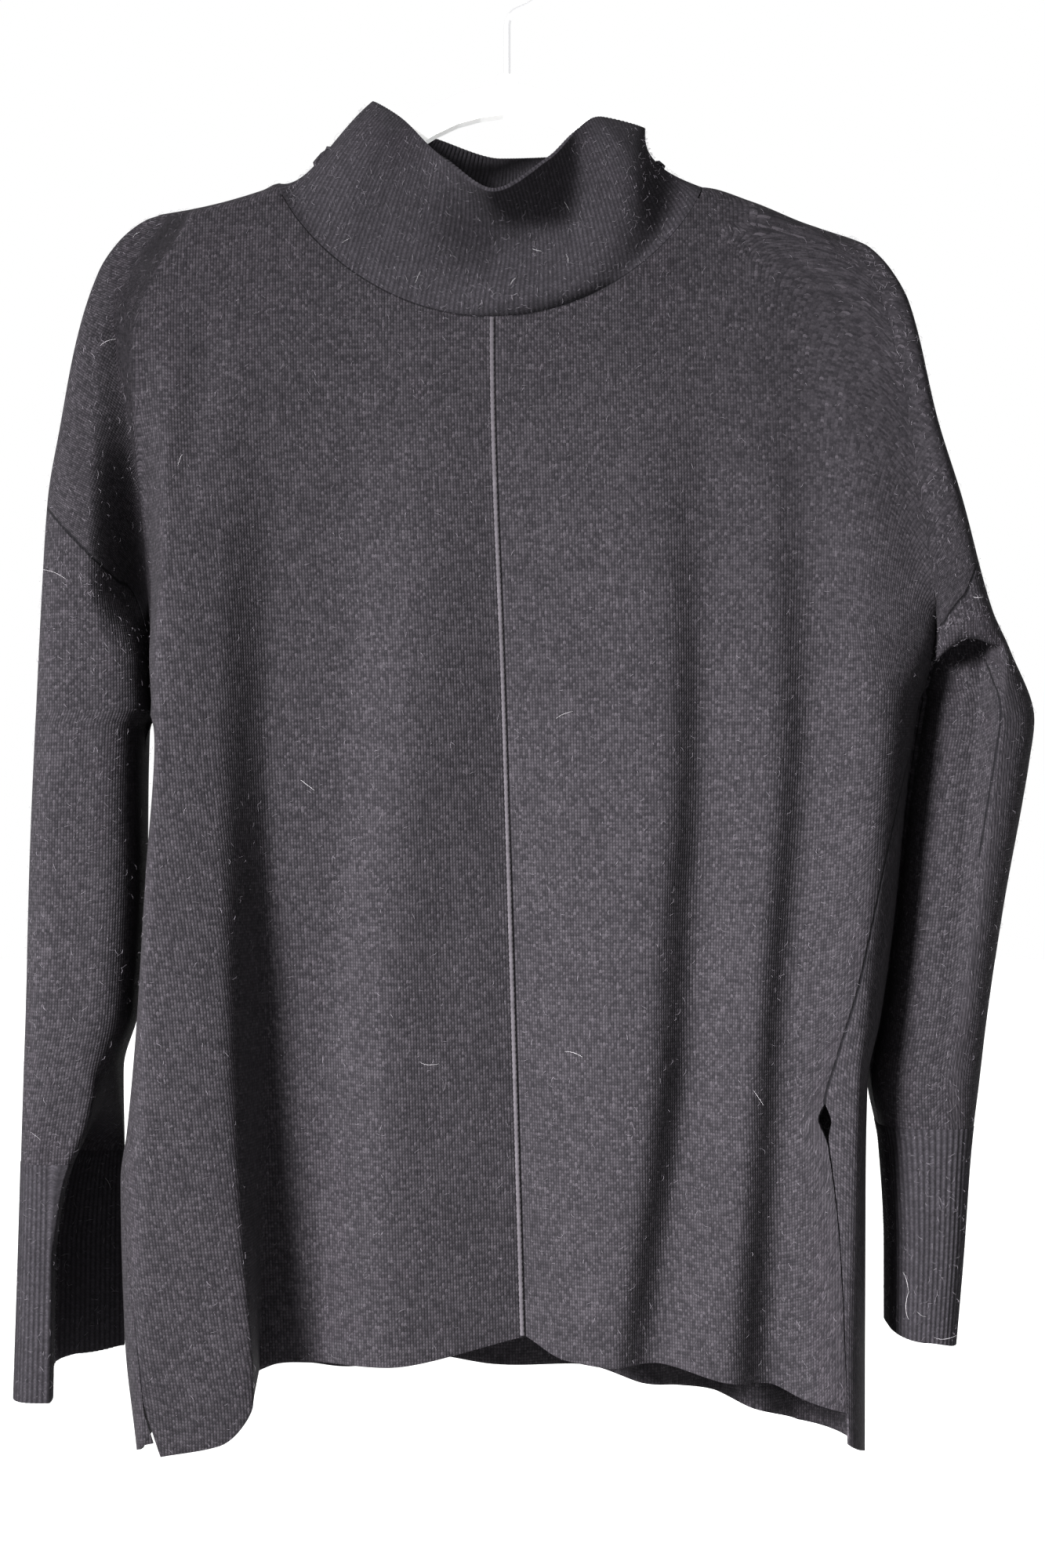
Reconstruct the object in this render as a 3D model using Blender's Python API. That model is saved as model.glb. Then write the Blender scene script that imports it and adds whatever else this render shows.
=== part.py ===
"""Mock neck sweater hanging on a plain hanger.

Eight knitted pieces (two front halves, back, two sleeves, two cuffs, rib collar) hang on a
moulded hanger with a wire hook. Metres in Blender; every table below is in millimetres.
+X is the viewer's right, -Y the front, +Z up; the origin is the inner top of the hook.
"""

import bmesh
import bpy
from collections import defaultdict, namedtuple
from math import acos, cos, pi, sin, sqrt
from mathutils import Vector

MM = 0.001
WALL = 2.0          # thickness of the knit
SEAM_GAP = 0.3      # between two pieces at a seam
ROLL = 8.0          # radius of the cloth over the shoulder and at the underarm

# ---------------------------------------------------------------- smooth curves through rows


def slopes(at, values, flat_first, flat_last):
    """Slopes at each row of a curve that never swings past its rows."""
    steps = [(b - a) / (q - p) for a, b, p, q in zip(values, values[1:], at, at[1:])]
    inner = [0.0 if a * b <= 0 else 2 * a * b / (a + b) for a, b in zip(steps, steps[1:])]
    return [0.0 if flat_first else steps[0]] + inner + [0.0 if flat_last else steps[-1]]


def smooth(at, values, where, flat_first=False, flat_last=False):
    """Value of the curve through (at, values) where asked; held constant past both ends."""
    if (where - at[0]) * (at[-1] - at[0]) <= 0:
        return values[0]
    if (where - at[-1]) * (at[-1] - at[0]) >= 0:
        return values[-1]
    i = next(k for k in range(len(at) - 1) if (at[k + 1] - where) * (at[-1] - at[0]) >= 0)
    span = at[i + 1] - at[i]
    t = (where - at[i]) / span
    m = slopes(at, values, flat_first, flat_last)
    return (
        values[i] * (1 + 2 * t) * (1 - t) ** 2
        + values[i + 1] * t * t * (3 - 2 * t)
        + span * (m[i] * t * (1 - t) ** 2 - m[i + 1] * t * t * (1 - t))
    )


def rounded(distance, radius=ROLL):
    """0 at an edge, 1 once past its round: a quarter circle between."""
    if distance >= radius:
        return 1.0
    return sqrt(max(0.0, 1 - (1 - max(distance, 0.0) / radius) ** 2))


def mix(a, b, t):
    return a + (b - a) * t


def ease(t):
    t = min(1.0, max(0.0, t))
    return t * t * (3 - 2 * t)


# ---------------------------------------------------------------- outline of the garment

# Top line of the shoulders, where front and back meet over the hanger.
SHOULDER_X = (-183, -160, -128, -120, 102, 128, 156, 181)
SHOULDER_Z = (-150.5, -146.5, -137.5, -134, -136, -143.5, -155, -163)

NECK_LEFT, NECK_RIGHT = -120.0, 102.0
NeckArc = namedtuple("NeckArc", "drop power")
NECK = {"front": NeckArc(72, 0.75), "back": NeckArc(22, 0.6)}

# Body side, from the shoulder down to the hem: x of the valley between body and arm and, below
# the underarm, of the body's side; and how far the valley stands out at the front and back.
Side = namedtuple("Side", "z x front back")
SIDES = {
    "left": (
        Side(-130, -168, -8, 8),
        Side(-150, -169, -9, 9),
        Side(-180, -184, -15, 14),
        Side(-215, -196, -20, 17),
        Side(-255, -194, -23, 18),
        Side(-300, -191, -13, 13),
        Side(-350, -188, -6, 9),
        Side(-404, -185, -4, 7),
        Side(-430, -182.5, -4, 7),
        Side(-492, -187, 0, 0),
        Side(-568, -192, 0, 0),
        Side(-629, -198, 0, 0),
        Side(-654, -201.5, 0, 0),
        Side(-736, -199, 0, 0),
        Side(-795, -191, 0, 0),
    ),
    "right": (
        Side(-130, 164, -8, 8),
        Side(-158, 166, -10, 9),
        Side(-180, 186, -16, 14),
        Side(-215, 199, -23, 17),
        Side(-300, 212, -34, 16),
        Side(-352, 219, -39, 14),
        Side(-372, 221, -28, 13),
        Side(-388, 220, -18, 12),
        Side(-408, 215, -12, 10),
        Side(-458, 208, 0, 0),
        Side(-510, 203, 0, 0),
        Side(-571, 194.5, 0, 0),
        Side(-602, 187.5, 0, 0),
        Side(-654, 186.6, 0, 0),
        Side(-798, 186.6, 0, 0),
    ),
}
CROTCH = 30.0   # height over which the valley runs in to the underarm
Underarm = namedtuple("Underarm", "x z")
UNDERARM = {"left": Underarm(-186, -414), "right": Underarm(218.4, -400)}
SPLIT_MIDDLE = -407.0   # level at the centre that the underarm row runs into
SLIT_TOP = -615.0

# Arm of the panels and sleeve below it, down to the cuff: inner and outer side (inner is the
# valley above the underarm), and how far the tube stands out at the front and at the back.
Arm = namedtuple("Arm", "z inner outer front back")
ARMS = {
    "left": (
        Arm(-151, -166, -183, -8, 8),
        Arm(-154, -168, -190, -9, 9),
        Arm(-166, -178, -204, -13, 12),
        Arm(-182, -187, -214, -17, 16),
        Arm(-219, -196, -225, -25, 23),
        Arm(-264, -193, -233, -33, 30),
        Arm(-301, -191, -239, -38, 34),
        Arm(-350, -188, -242, -41, 37),
        Arm(-449, -190.5, -247, -39, 39),
        Arm(-492, -191, -249, -35, 40),
        Arm(-568, -195.5, -251, -34, 40),
        Arm(-600, -204, -252, -33, 39),
        Arm(-654, -205, -253.5, -32, 38),
        Arm(-772, -205, -257.5, -30, 36),
    ),
    "right": (
        Arm(-163, 176, 181, -8, 8),
        Arm(-168, 180, 189.5, -11, 10),
        Arm(-182, 190, 201.5, -17, 15),
        Arm(-199, 196, 210, -22, 20),
        Arm(-260, 206, 224, -31, 28),
        Arm(-301, 212, 236.5, -36, 32),
        Arm(-359, 220, 252, -40, 36),
        Arm(-379, 221, 261, -41, 38),
        Arm(-416, 215.8, 274.5, -38, 39),
        Arm(-437, 212.6, 272, -37, 40),
        Arm(-458, 209.7, 268.5, -37, 40),
        Arm(-510, 204.6, 259, -36, 40),
        Arm(-571, 196.4, 250, -34, 40),
        Arm(-602, 190.5, 246.5, -32, 39),
        Arm(-640, 197, 242, -30, 38),
        Arm(-695, 200, 238, -29, 37),
        Arm(-748, 200, 233.5, -28, 36),
    ),
}
# Armhole seam across the arm (outer end, then its fall to the valley), cuff seam and cuff edge.
Sleeve = namedtuple("Sleeve", "armhole fall cuff_top edge_inner edge_outer")
SLEEVES = {
    "left": Sleeve(-307, 38, -645, -749, -768),
    "right": Sleeve(-332, 35, -627, -735, -744),
}

# Ridges and troughs of each quarter of the body, from the centre out: x at the shoulder, yoke,
# waist and hem; how far out it stands at the chest, underarm, waist and hem; the hem's height.
Fold = namedtuple("Fold", "name x_top x_yoke x_chest x_waist x_hem chest underarm waist hem hem_z")
X_LEVELS = (-135, -215, -408, -572, -745)
OUT_LEVELS = (-130, -207, -300, -414, -572, -745)
SHOULDER_OUT, NECK_OUT = 8.0, 20.0
FOLDS = {
    ("front", "left"): (
        Fold("centre", -6, -6, 0, 5, 10, 26, 22, 16, 15, -736),
        Fold("soft_ridge", -36, -40, -50, -60, -61, 29, 34, 29, 29, -750),
        Fold("wide_trough", -74, -80, -86, -95, -102, 24, 24, 14, 11, -750),
        Fold("trough_foot", NECK_LEFT, NECK_LEFT, -121, -120, -121, 27, 28, 20, 15, -752),
        Fold("pipe_inner", -138, -144, -148, -145, -136, 35, 45, 50, 48, -764),
        Fold("pipe_outer", -160, -172, -176, -182, -184, 40, 51, 57, 56, -785),
    ),
    ("front", "right"): (
        Fold("centre", -6, -6, 0, 5, 10, 26, 22, 16, 15, -736),
        Fold("bright_slope", 26, 30, 38, 36, 30, 31, 33, 33, 29, -746),
        Fold("first_ridge", 66, 72, 81, 74, 55, 35, 43, 46, 41, -748),
        Fold("first_trough", NECK_RIGHT, NECK_RIGHT, 102, 96, 76, 31, 34, 32, 30, -747),
        Fold("narrow_ridge", 120, 128, 136, 126, 112, 34, 44, 50, 49, -754),
        Fold("second_trough", 136, 148, 156, 144, 136, 31, 37, 41, 34, -757),
        Fold("side_ridge", 156, 174, 188, 178, 172, 38, 50, 56, 55, -764),
    ),
    ("back", "left"): (
        Fold("centre", -8, -8, -8, -6, -4, 22, 30, 32, 30, -759),
        Fold("ridge", -34, -34, -40, -46, -44, 25, 36, 46, 48, -757),
        Fold("trough", -66, -66, -74, -84, -84, 23, 24, 18, 14, -757),
        Fold("neck_slope", NECK_LEFT, NECK_LEFT, -112, -110, -106, 25, 34, 36, 35, -759),
        Fold("low_ridge", -140, -145, -140, -134, -126, 25, 42, 47, 46, -762),
        Fold("side_dip", -150, -156, -153, -149, -146, 24, 35, 34, 30, -768),
        Fold("side_ridge", -160, -172, -171, -169, -166, 26, 41, 45, 43, -782),
    ),
    ("back", "right"): (
        Fold("centre", -8, -8, -8, -6, -4, 22, 30, 32, 30, -759),
        Fold("ridge", 30, 34, 42, 46, 42, 26, 40, 48, 46, -762),
        Fold("trough", 72, 74, 76, 76, 74, 24, 27, 22, 18, -767),
        Fold("neck_slope", NECK_RIGHT, NECK_RIGHT, 96, 92, 90, 24, 32, 33, 30, -770),
        Fold("low_ridge", 118, 123, 120, 116, 113, 25, 42, 47, 45, -776),
        Fold("side_dip", 136, 146, 142, 136, 134, 26, 34, 32, 28, -783),
        Fold("side_ridge", 154, 172, 170, 162, 156, 28, 43, 46, 43, -791),
    ),
}
SIDE_HEM = {
    ("front", "left"): -790,
    ("front", "right"): -768,
    ("back", "left"): -795,
    ("back", "right"): -798,
}
FLAP_HEM = {"left": -783, "right": -784}   # the back's hem where it wraps to the front

# Side seams and slits: how far past the last front ridge they run, as a share of the turn to the
# side (1); below 0 they lie on the front, short of that ridge.
SeamRow = namedtuple("SeamRow", "z turn open")
SIDE_SEAMS = {
    "left": (
        SeamRow(-414, 1.0, 0.0),
        SeamRow(-440, 0.94, 0.0),
        SeamRow(-615, 0.7, 0.0),
        SeamRow(-622, 0.68, 0.03),
        SeamRow(-640, 0.62, 0.02),
        SeamRow(-735, 0.15, 0.02),
        SeamRow(-794, -0.15, 0.02),
    ),
    "right": (
        SeamRow(-400, 1.0, 0.0),
        SeamRow(-418, 1.0, 0.0),
        SeamRow(-440, 0.6, 0.0),
        SeamRow(-483, 0.3, 0.0),
        SeamRow(-549, 0.0, 0.0),
        SeamRow(-589, -0.27, 0.0),
        SeamRow(-612, -0.4, 0.0),
        SeamRow(-620, -0.4, 0.17),
        SeamRow(-629, -0.36, 0.12),
        SeamRow(-642, -0.28, 0.04),
        SeamRow(-679, -0.15, 0.03),
        SeamRow(-758, 0.04, 0.03),
        SeamRow(-798, 0.1, 0.03),
    ),
}


def neck_z(face, x):
    """Height of the collar seam."""
    across = (2 * x - NECK_LEFT - NECK_RIGHT) / (NECK_RIGHT - NECK_LEFT)
    arc = NECK[face]
    return smooth(SHOULDER_X, SHOULDER_Z, x) - arc.drop * max(0.0, 1 - across**2) ** arc.power


def level(rows, column, z):
    return smooth([row.z for row in rows], [getattr(row, column) for row in rows], z)


def side_point(face, side, z):
    """(x, y) where the body turns: the valley above the underarm, the side below it."""
    under = UNDERARM[side]
    x = level(SIDES[side], "x", z)
    if z >= under.z:
        out = level(SIDES[side], face, z) * rounded(z - under.z, CROTCH)
        return mix(under.x, x, rounded(z - under.z)), out
    return mix(under.x, x, rounded(under.z - z)), 0.0


def section(face, side, z):
    """(x, y) of each fold of a quarter at one height, from the centre to the side."""
    sign = -1 if face == "front" else 1
    points = []
    for fold in FOLDS[face, side]:
        outs = (SHOULDER_OUT, NECK_OUT, fold.chest, fold.underarm, fold.waist, fold.hem)
        places = (fold.x_top, fold.x_yoke, fold.x_chest, fold.x_waist, fold.x_hem)
        x = smooth(X_LEVELS, places, z)
        points.append((x, sign * smooth(OUT_LEVELS, outs, z)))
    return points + [side_point(face, side, z)]


def shallow(side, z):
    """1 high on the chest, where body and arm run into each other; 0 near the underarm."""
    return ease((z - UNDERARM[side].z - 25) / 45)


def body_point(face, side, u, z):
    """Point of the body's skin: u counts the folds out from the centre."""
    points = section(face, side, z)
    last = len(points) - 2
    if u <= last:
        at = range(last + 1)
        x = smooth(at, [p[0] for p in points[:-1]], u)
        y = smooth(at, [p[1] for p in points[:-1]], u, face == "back", True)
    else:
        past, soft = u - last, shallow(side, z)
        across = mix(sin(past * pi / 2), past, soft)
        out = mix(cos(past * pi / 2), 1 - ease(past), soft)
        x, y = mix(points[last][0], points[-1][0], across), mix(points[-1][1], points[last][1], out)
    over = rounded(smooth(SHOULDER_X, SHOULDER_Z, x) - z)
    return Vector((x, y * over, z))


HOOD_FALL, HOOD_TUCK, HOOD_DROP, HOOD_RUN = 17.0, 23.0, 4.0, 15.0


def hood_z(t):
    """Where the right sleeve starts to tuck in: along the armhole seam, then down and away."""
    return armhole_z("right", t) - 2.5 - 14 * ease((t - 0.7) / 0.4)


def hooded(t, z):
    """Step back and extra drop of the overhanging fold under the right armhole."""
    reach = ease((1.25 - t) / 0.4) * ease((t - 0.05) / 0.3)
    down = (hood_z(t) - z) / HOOD_FALL
    inside = min(max(down, 0.0), 1.0)
    below = max(0.0, 1 - max(0.0, down - 1) / HOOD_RUN) ** 1.5
    return HOOD_TUCK * reach * ease(inside) * below, -HOOD_DROP * reach * sin(2 * pi * inside)


FOLD_UNDER = 0.2    # how far the cloth runs back behind the fold's edge


def tucked(t, z):
    """Left forearm: the front half folds back on itself. Shares of the way across and out."""
    edge = smooth((-597, -628, -658, -690), (0.05, 0.4, 0.75, 0.9), z)
    behind = (edge + FOLD_UNDER) * ease(t / 0.4) - FOLD_UNDER * ease((t - 0.45) / 0.27)
    return behind + (1 - edge) * ease((t - 0.72) / 0.28), ease((t - 0.32) / 0.5)


CROWN = {"front": 0.62, "back": 0.42}


def flattened(face, share):
    """Way out along a round with a flattened crown: the arms hang flat rather than round."""
    return max(0.0, sin(share * pi / 2)) ** CROWN[face]


def arm_point(face, side, t, z):
    """Point of the arm or sleeve: t is 0 at the valley, 1 at the crest, 2 at the outer side."""
    rows = ARMS[side]
    outer = level(rows, "outer", z)
    crest_y = level(rows, face, z)
    fold = 0.0
    if z >= UNDERARM[side].z:
        inner, inner_y = side_point(face, side, z)
    else:
        inner = mix(UNDERARM[side].x, level(rows, "inner", z), rounded(UNDERARM[side].z - z))
        inner_y = 0.0
        if side == "left":
            fold = ease((-586 - z) / 60)
            inner_y = 30 * fold
    crest = mix(inner, outer, 0.5 + 0.14 * fold)
    if t <= 1:
        soft = shallow(side, z)
        across = mix(1 - flattened(face, 1 - t), t, soft)
        out = mix(flattened(face, t), ease(t), soft)
        if fold and face == "front":
            folded_across, folded_out = tucked(t, z)
            across, out = mix(across, folded_across, fold), mix(out, folded_out, fold)
        x, y = mix(inner, crest, across), mix(inner_y, crest_y, out)
    else:
        x = mix(crest, outer, flattened(face, t - 1))
        y = crest_y * flattened(face, 2 - t)
    if side == "right" and face == "front":
        back, drop = hooded(t, z)
        y, z = y + back, z + drop
    over = rounded(smooth(SHOULDER_X, SHOULDER_Z, x) - z) if z > -200 else 1.0
    return Vector((x, y * over, z))


CREST_RISE = 0.4    # share of the armhole's fall already made up at the arm's crest


def armhole_z(side, t):
    """Height of the armhole seam across the arm, from the underarm (0) to the outer side (2)."""
    cut = SLEEVES[side]
    if t <= 1:
        share = 1 - CREST_RISE * max(0.0, (t - 0.45) / 0.55)
    else:
        share = (1 - CREST_RISE) * max(0.0, 1 - flattened("front", t - 1) / 0.9)
    return mix(UNDERARM[side].z, cut.armhole - cut.fall * share, rounded(t, 0.4))


def top_of(face, side, point, u):
    """Height at which a column starts: on the collar seam or on the shoulder line."""
    z = -140.0
    for _ in range(30):
        x = point(face, side, u, z).x
        inside = NECK_LEFT < x < NECK_RIGHT
        z = mix(z, neck_z(face, x) if inside else smooth(SHOULDER_X, SHOULDER_Z, x), 0.6)
    return z


def hem_z(face, side, u):
    rows = FOLDS[face, side]
    heights = [row.hem_z for row in rows] + [SIDE_HEM[face, side]]
    return smooth(range(len(heights)), heights, u)


# ---------------------------------------------------------------- grids of points, column by column

UPPER_ROWS, FLAP_COLUMNS = 8, 3
ARM_STEPS = (0.0, 0.08, 0.2, 0.38, 0.58, 0.8, 1.1, 1.5, 1.8, 1.94, 2.0)   # close at both turns
LOWER_STEPS = (0.08, 0.25, 0.5, 0.75, 1.0)        # of the way from the underarm to the slits
SLIT_STEPS = (0.05, 0.15, 0.45, 0.72, 1.0)  # of the way down the slits
FOLD_STEPS = 2
CORNER_STEPS = (0.8, 0.93)                  # extra columns, since the neck turns sharply there
SLEEVE_ROWS, CUFF_ROWS, COLLAR_ROWS = 8, 4, 6
HOOD_STEPS = (0.2, 0.45, 0.7, 1.0)          # rows through the overhanging fold


def upper_levels(top, bottom):
    return [mix(top, bottom, (i / UPPER_ROWS) ** 1.8) for i in range(UPPER_ROWS + 1)]


def lower_levels(top, hem):
    above = [mix(top, SLIT_TOP, step) for step in LOWER_STEPS]
    return [top] + above + [mix(SLIT_TOP, hem, step) for step in SLIT_STEPS]


def columns(face, side):
    """Places of a quarter's columns, counted in folds from the centre."""
    folds = [fold.x_top for fold in FOLDS[face, side]]
    corner = next(i for i, x in enumerate(folds) if x in (NECK_LEFT, NECK_RIGHT))
    even = [k / FOLD_STEPS for k in range(len(folds) * FOLD_STEPS + 1)]
    return sorted(even + [corner - 1 + step for step in CORNER_STEPS])


def on_shoulder(points):
    """A column whose top, past the neck, lies exactly on the shoulder seam."""
    if not NECK_LEFT < points[0].x < NECK_RIGHT:
        points[0].y = 0.0
    return points


def upper_body(face, side):
    last = len(FOLDS[face, side])
    grid = []
    for u in columns(face, side):
        bottom = mix(SPLIT_MIDDLE, UNDERARM[side].z, u / last)
        levels = upper_levels(top_of(face, side, body_point, u), bottom)
        grid.append(on_shoulder([body_point(face, side, u, z) for z in levels]))
    return grid


def upper_arm(face, side):
    grid = []
    for t in ARM_STEPS:
        levels = upper_levels(top_of(face, side, arm_point, t), armhole_z(side, t))
        grid.append(on_shoulder([arm_point(face, side, t, z) for z in levels]))
    return grid


def lower_body(face, side):
    """Body below the underarm row. The front stops at the side seam, the back at the side."""
    last = len(FOLDS[face, side])
    grid = []
    for u in columns(face, side):
        top = mix(SPLIT_MIDDLE, UNDERARM[side].z, u / last)
        points = []
        for z in lower_levels(top, hem_z(face, side, u)):
            here = u
            if face == "front" and u > last - 2:
                seam = level(SIDE_SEAMS[side], "turn", z) - level(SIDE_SEAMS[side], "open", z) / 2
                here = last - 2 + (u - last + 2) * (1 + seam) / 2
            points.append(body_point(face, side, here, z))
        grid.append(points)
    return grid


def back_flap(side):
    """The strip of the back panel that wraps round the side to the front's side seam."""
    last = len(FOLDS["front", side])
    grid = []
    for k in range(FLAP_COLUMNS + 1):
        share = k / FLAP_COLUMNS
        hem = mix(SIDE_HEM["back", side], FLAP_HEM[side], share)
        points = []
        for z in lower_levels(UNDERARM[side].z, hem):
            seam = level(SIDE_SEAMS[side], "turn", z) + level(SIDE_SEAMS[side], "open", z) / 2
            points.append(body_point("front", side, last - 1 + mix(1.0, seam, share), z))
        grid.append(points)
    return grid


def sleeve_levels(face, side, t):
    """Heights of one column of a sleeve; the right one has rows through its overhanging fold."""
    top, bottom = armhole_z(side, t), SLEEVES[side].cuff_top
    if side == "left":
        return [mix(top, bottom, i / SLEEVE_ROWS) for i in range(SLEEVE_ROWS + 1)]
    fold = hood_z(t)
    levels = [top] + [fold - HOOD_FALL * step for step in HOOD_STEPS]
    rows = SLEEVE_ROWS - 2
    return levels + [mix(levels[-1], bottom, (i + 1) / rows) for i in range(rows)]


def cuff_levels(face, side, t):
    cut = SLEEVES[side]
    outwards = ease(t / 0.8) if face == "front" else 1 - cos(t * pi / 4)
    edge = mix(cut.edge_inner, cut.edge_outer, outwards)
    return [mix(cut.cuff_top, edge, i / CUFF_ROWS) for i in range(CUFF_ROWS + 1)]


def tube(side, levels):
    """Closed ring of columns: underarm, front, outer side, back."""
    grid = []
    for face, steps in (("front", ARM_STEPS[:-1]), ("back", ARM_STEPS[::-1])):
        for t in steps:
            grid.append([arm_point(face, side, t, z) for z in levels(face, side, t)])
    return grid


# ---------------------------------------------------------------- collar

# Rib strip round the neck: where it is linked on, one and two thirds up, and its edge.
Stave = namedtuple(
    "Stave", "name face base_x low_x low_y low_z high_x high_y high_z top_x top_y top_z"
)
STAVES = (
    Stave("side_left", "front", NECK_LEFT, -104, -3, -128, -88, -4, -110, -71, 4, -90),
    Stave("notch_left", "front", -92, -84, -20, -156, -71, -28, -130, -55, -17, -103),
    Stave("front_left", "front", -50, -45, -22, -177, -39, -27, -151, -35, -31, -125),
    Stave("dip", "front", -8, -6, -20, -188, -3, -13, -166, -7, -46, -147),
    Stave("front_right", "front", 34, 33, -20, -181, 30, -11, -157, 22, -39, -129),
    Stave("lobe_right", "front", 78, 72, -21, -158, 63, -38, -135, 49, -26, -104),
    Stave("side_right", "front", NECK_RIGHT, 88, -4, -129, 77, -7, -121, 73, -3, -111),
    Stave("back_right", "back", 80, 74, 15, -133, 64, 21, -118, 56, 24, -103),
    Stave("back_mid_right", "back", 40, 37, 25, -143, 32, 35, -127, 26, 45, -112),
    Stave("back", "back", -10, -8, 27, -145, -5, 38, -129, -4, 50, -112),
    Stave("back_mid_left", "back", -56, -53, 25, -141, -46, 33, -122, -38, 40, -103),
    Stave("back_left", "back", -98, -90, 11, -127, -76, 16, -112, -60, 19, -97),
)


def round_neck(face, x):
    """Place round the collar seam, 0 to 1 from the left shoulder, past the front and back."""
    share = (x - NECK_LEFT) / (NECK_RIGHT - NECK_LEFT) / 2
    return share if face == "front" else 1 - share


def stave_value(column, place):
    at = [round_neck(stave.face, stave.base_x) for stave in STAVES]
    values = [getattr(stave, column) for stave in STAVES]
    at = [place_ - 1 for place_ in at] + at + [place_ + 1 for place_ in at]
    return smooth(at, values * 3, place)


def collar_column(face, base):
    """A curve from the seam through the three stops of the strip at that place."""
    place = round_neck(face, base.x)
    stops = [base]
    for height in ("low", "high", "top"):
        stops.append(Vector([stave_value(f"{height}_{axis}", place) for axis in "xyz"]))
    points = []
    for i in range(COLLAR_ROWS + 1):
        at = 3 * i / COLLAR_ROWS
        point = Vector((0, 0, 0))
        for k, stop in enumerate(stops):
            weight = 1.0
            for other in range(4):
                if other != k:
                    weight *= (at - other) / (k - other)
            point += weight * stop
        points.append(point)
    return points


def collar():
    """Columns from the left shoulder, round the front, to the right shoulder and the back."""
    bases = []
    for face, sides in (("front", ("left", "right")), ("back", ("right", "left"))):
        for side, outward in zip(sides, (False, True)):
            columns = [grid[0] for grid in upper_body(face, side)]
            neck = [p for p in columns if NECK_LEFT - 0.01 < p.x < NECK_RIGHT + 0.01]
            neck.sort(key=lambda p: p.x, reverse=face == "back")
            bases += [(face, p) for p in neck[:-1]]
    return [collar_column(face, p) for face, p in bases + bases[:1]]


# ---------------------------------------------------------------- knitted pieces

def oriented(grid, outward):
    """The grid with its faces turned out."""
    return grid if outward else grid[::-1]


def quarter(face, side, grid):
    return oriented(grid, (face == "front") == (side == "left"))


def front_grids(side):
    parts = (upper_body("front", side), lower_body("front", side), upper_arm("front", side))
    return [quarter("front", side, grid) for grid in parts]


def back_grids():
    grids = []
    for side in ("left", "right"):
        for grid in (upper_body("back", side), lower_body("back", side), upper_arm("back", side)):
            grids.append(quarter("back", side, grid))
        grids.append(quarter("back", side, back_flap(side)))
    return grids


def tube_grids(side, levels):
    return [oriented(tube(side, levels), side == "left")]


PIECES = {
    "front_left": front_grids("left"),
    "front_right": front_grids("right"),
    "back": back_grids(),
    "sleeve_left": tube_grids("left", sleeve_levels),
    "sleeve_right": tube_grids("right", sleeve_levels),
    "cuff_left": tube_grids("left", cuff_levels),
    "cuff_right": tube_grids("right", cuff_levels),
    "collar": [collar()],
}


def key(point):
    return tuple(round(c, 3) for c in point)


def faces_of(grids):
    """Corner keys of each face, and the point of each key."""
    points, faces = {}, []
    for grid in grids:
        for left, right in zip(grid, grid[1:]):
            for i in range(len(left) - 1):
                corners = [left[i], right[i], right[i + 1], left[i + 1]]
                ring = list(dict.fromkeys(key(p) for p in corners))
                points.update((key(p), p) for p in corners)
                if len(ring) > 2:
                    faces.append(ring)
    return points, faces


def face_normal(points, ring):
    a, b, c = (points[k] for k in ring[:3])
    return (b - a).cross(points[ring[-1]] - a) if len(ring) == 4 else (b - a).cross(c - a)


def skin_normals(pieces):
    """Outward direction at every point of the whole garment, shared by pieces at their seams.

    Level across the shoulder line, where front and back meet, and one for both lips of a slit.
    """
    normals = defaultdict(Vector)
    for grids in pieces.values():
        points, faces = faces_of(grids)
        for ring in faces:
            normal = face_normal(points, ring)
            for corner in ring:
                normals[corner] += normal
    found = {corner: normal.normalized() for corner, normal in normals.items()}
    for corner, normal in found.items():
        if corner[1] == 0.0:
            found[corner] = Vector((normal.x, 0, normal.z)).normalized()
    for side in ("left", "right"):
        for lips in zip(lower_body("front", side)[-1], back_flap(side)[-1]):
            along = sum((found[key(p)] for p in lips), Vector()).normalized()
            found.update((key(p), along) for p in lips)
    for x, z in UNDERARM.values():
        found[key((x, 0.0, z))] = Vector((0, 0, -1))
    return found


def edges(ring):
    return zip(ring, ring[1:] + ring[:1])


def material(name, colour, roughness, metallic=0.0):
    made = bpy.data.materials.new(name)
    made.use_nodes = True
    made.diffuse_color = (*colour, 1)
    shader = made.node_tree.nodes["Principled BSDF"]
    shader.inputs["Base Color"].default_value = (*colour, 1)
    shader.inputs["Roughness"].default_value = roughness
    shader.inputs["Metallic"].default_value = metallic
    return made


def add_object(name, mesh, finish):
    placed = bpy.data.objects.new(name, mesh)
    bpy.context.scene.collection.objects.link(placed)
    mesh.materials.append(finish)
    return placed


def seam_allowance(points, faces, normals):
    """Half of the seam's gap, into the piece and square to its edge, for each point on an edge."""
    uses = defaultdict(int)
    for ring in faces:
        for a, b in edges(ring):
            uses[frozenset((a, b))] += 1
    inward = defaultdict(Vector)
    for ring in faces:
        for a, b in edges(ring):
            if uses[frozenset((a, b))] == 1:
                along = (points[b] - points[a]).normalized()
                inward[a] += normals[a].cross(along)
                inward[b] += normals[b].cross(along)
    return uses, {corner: way.normalized() * SEAM_GAP / 2 for corner, way in inward.items()}


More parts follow.
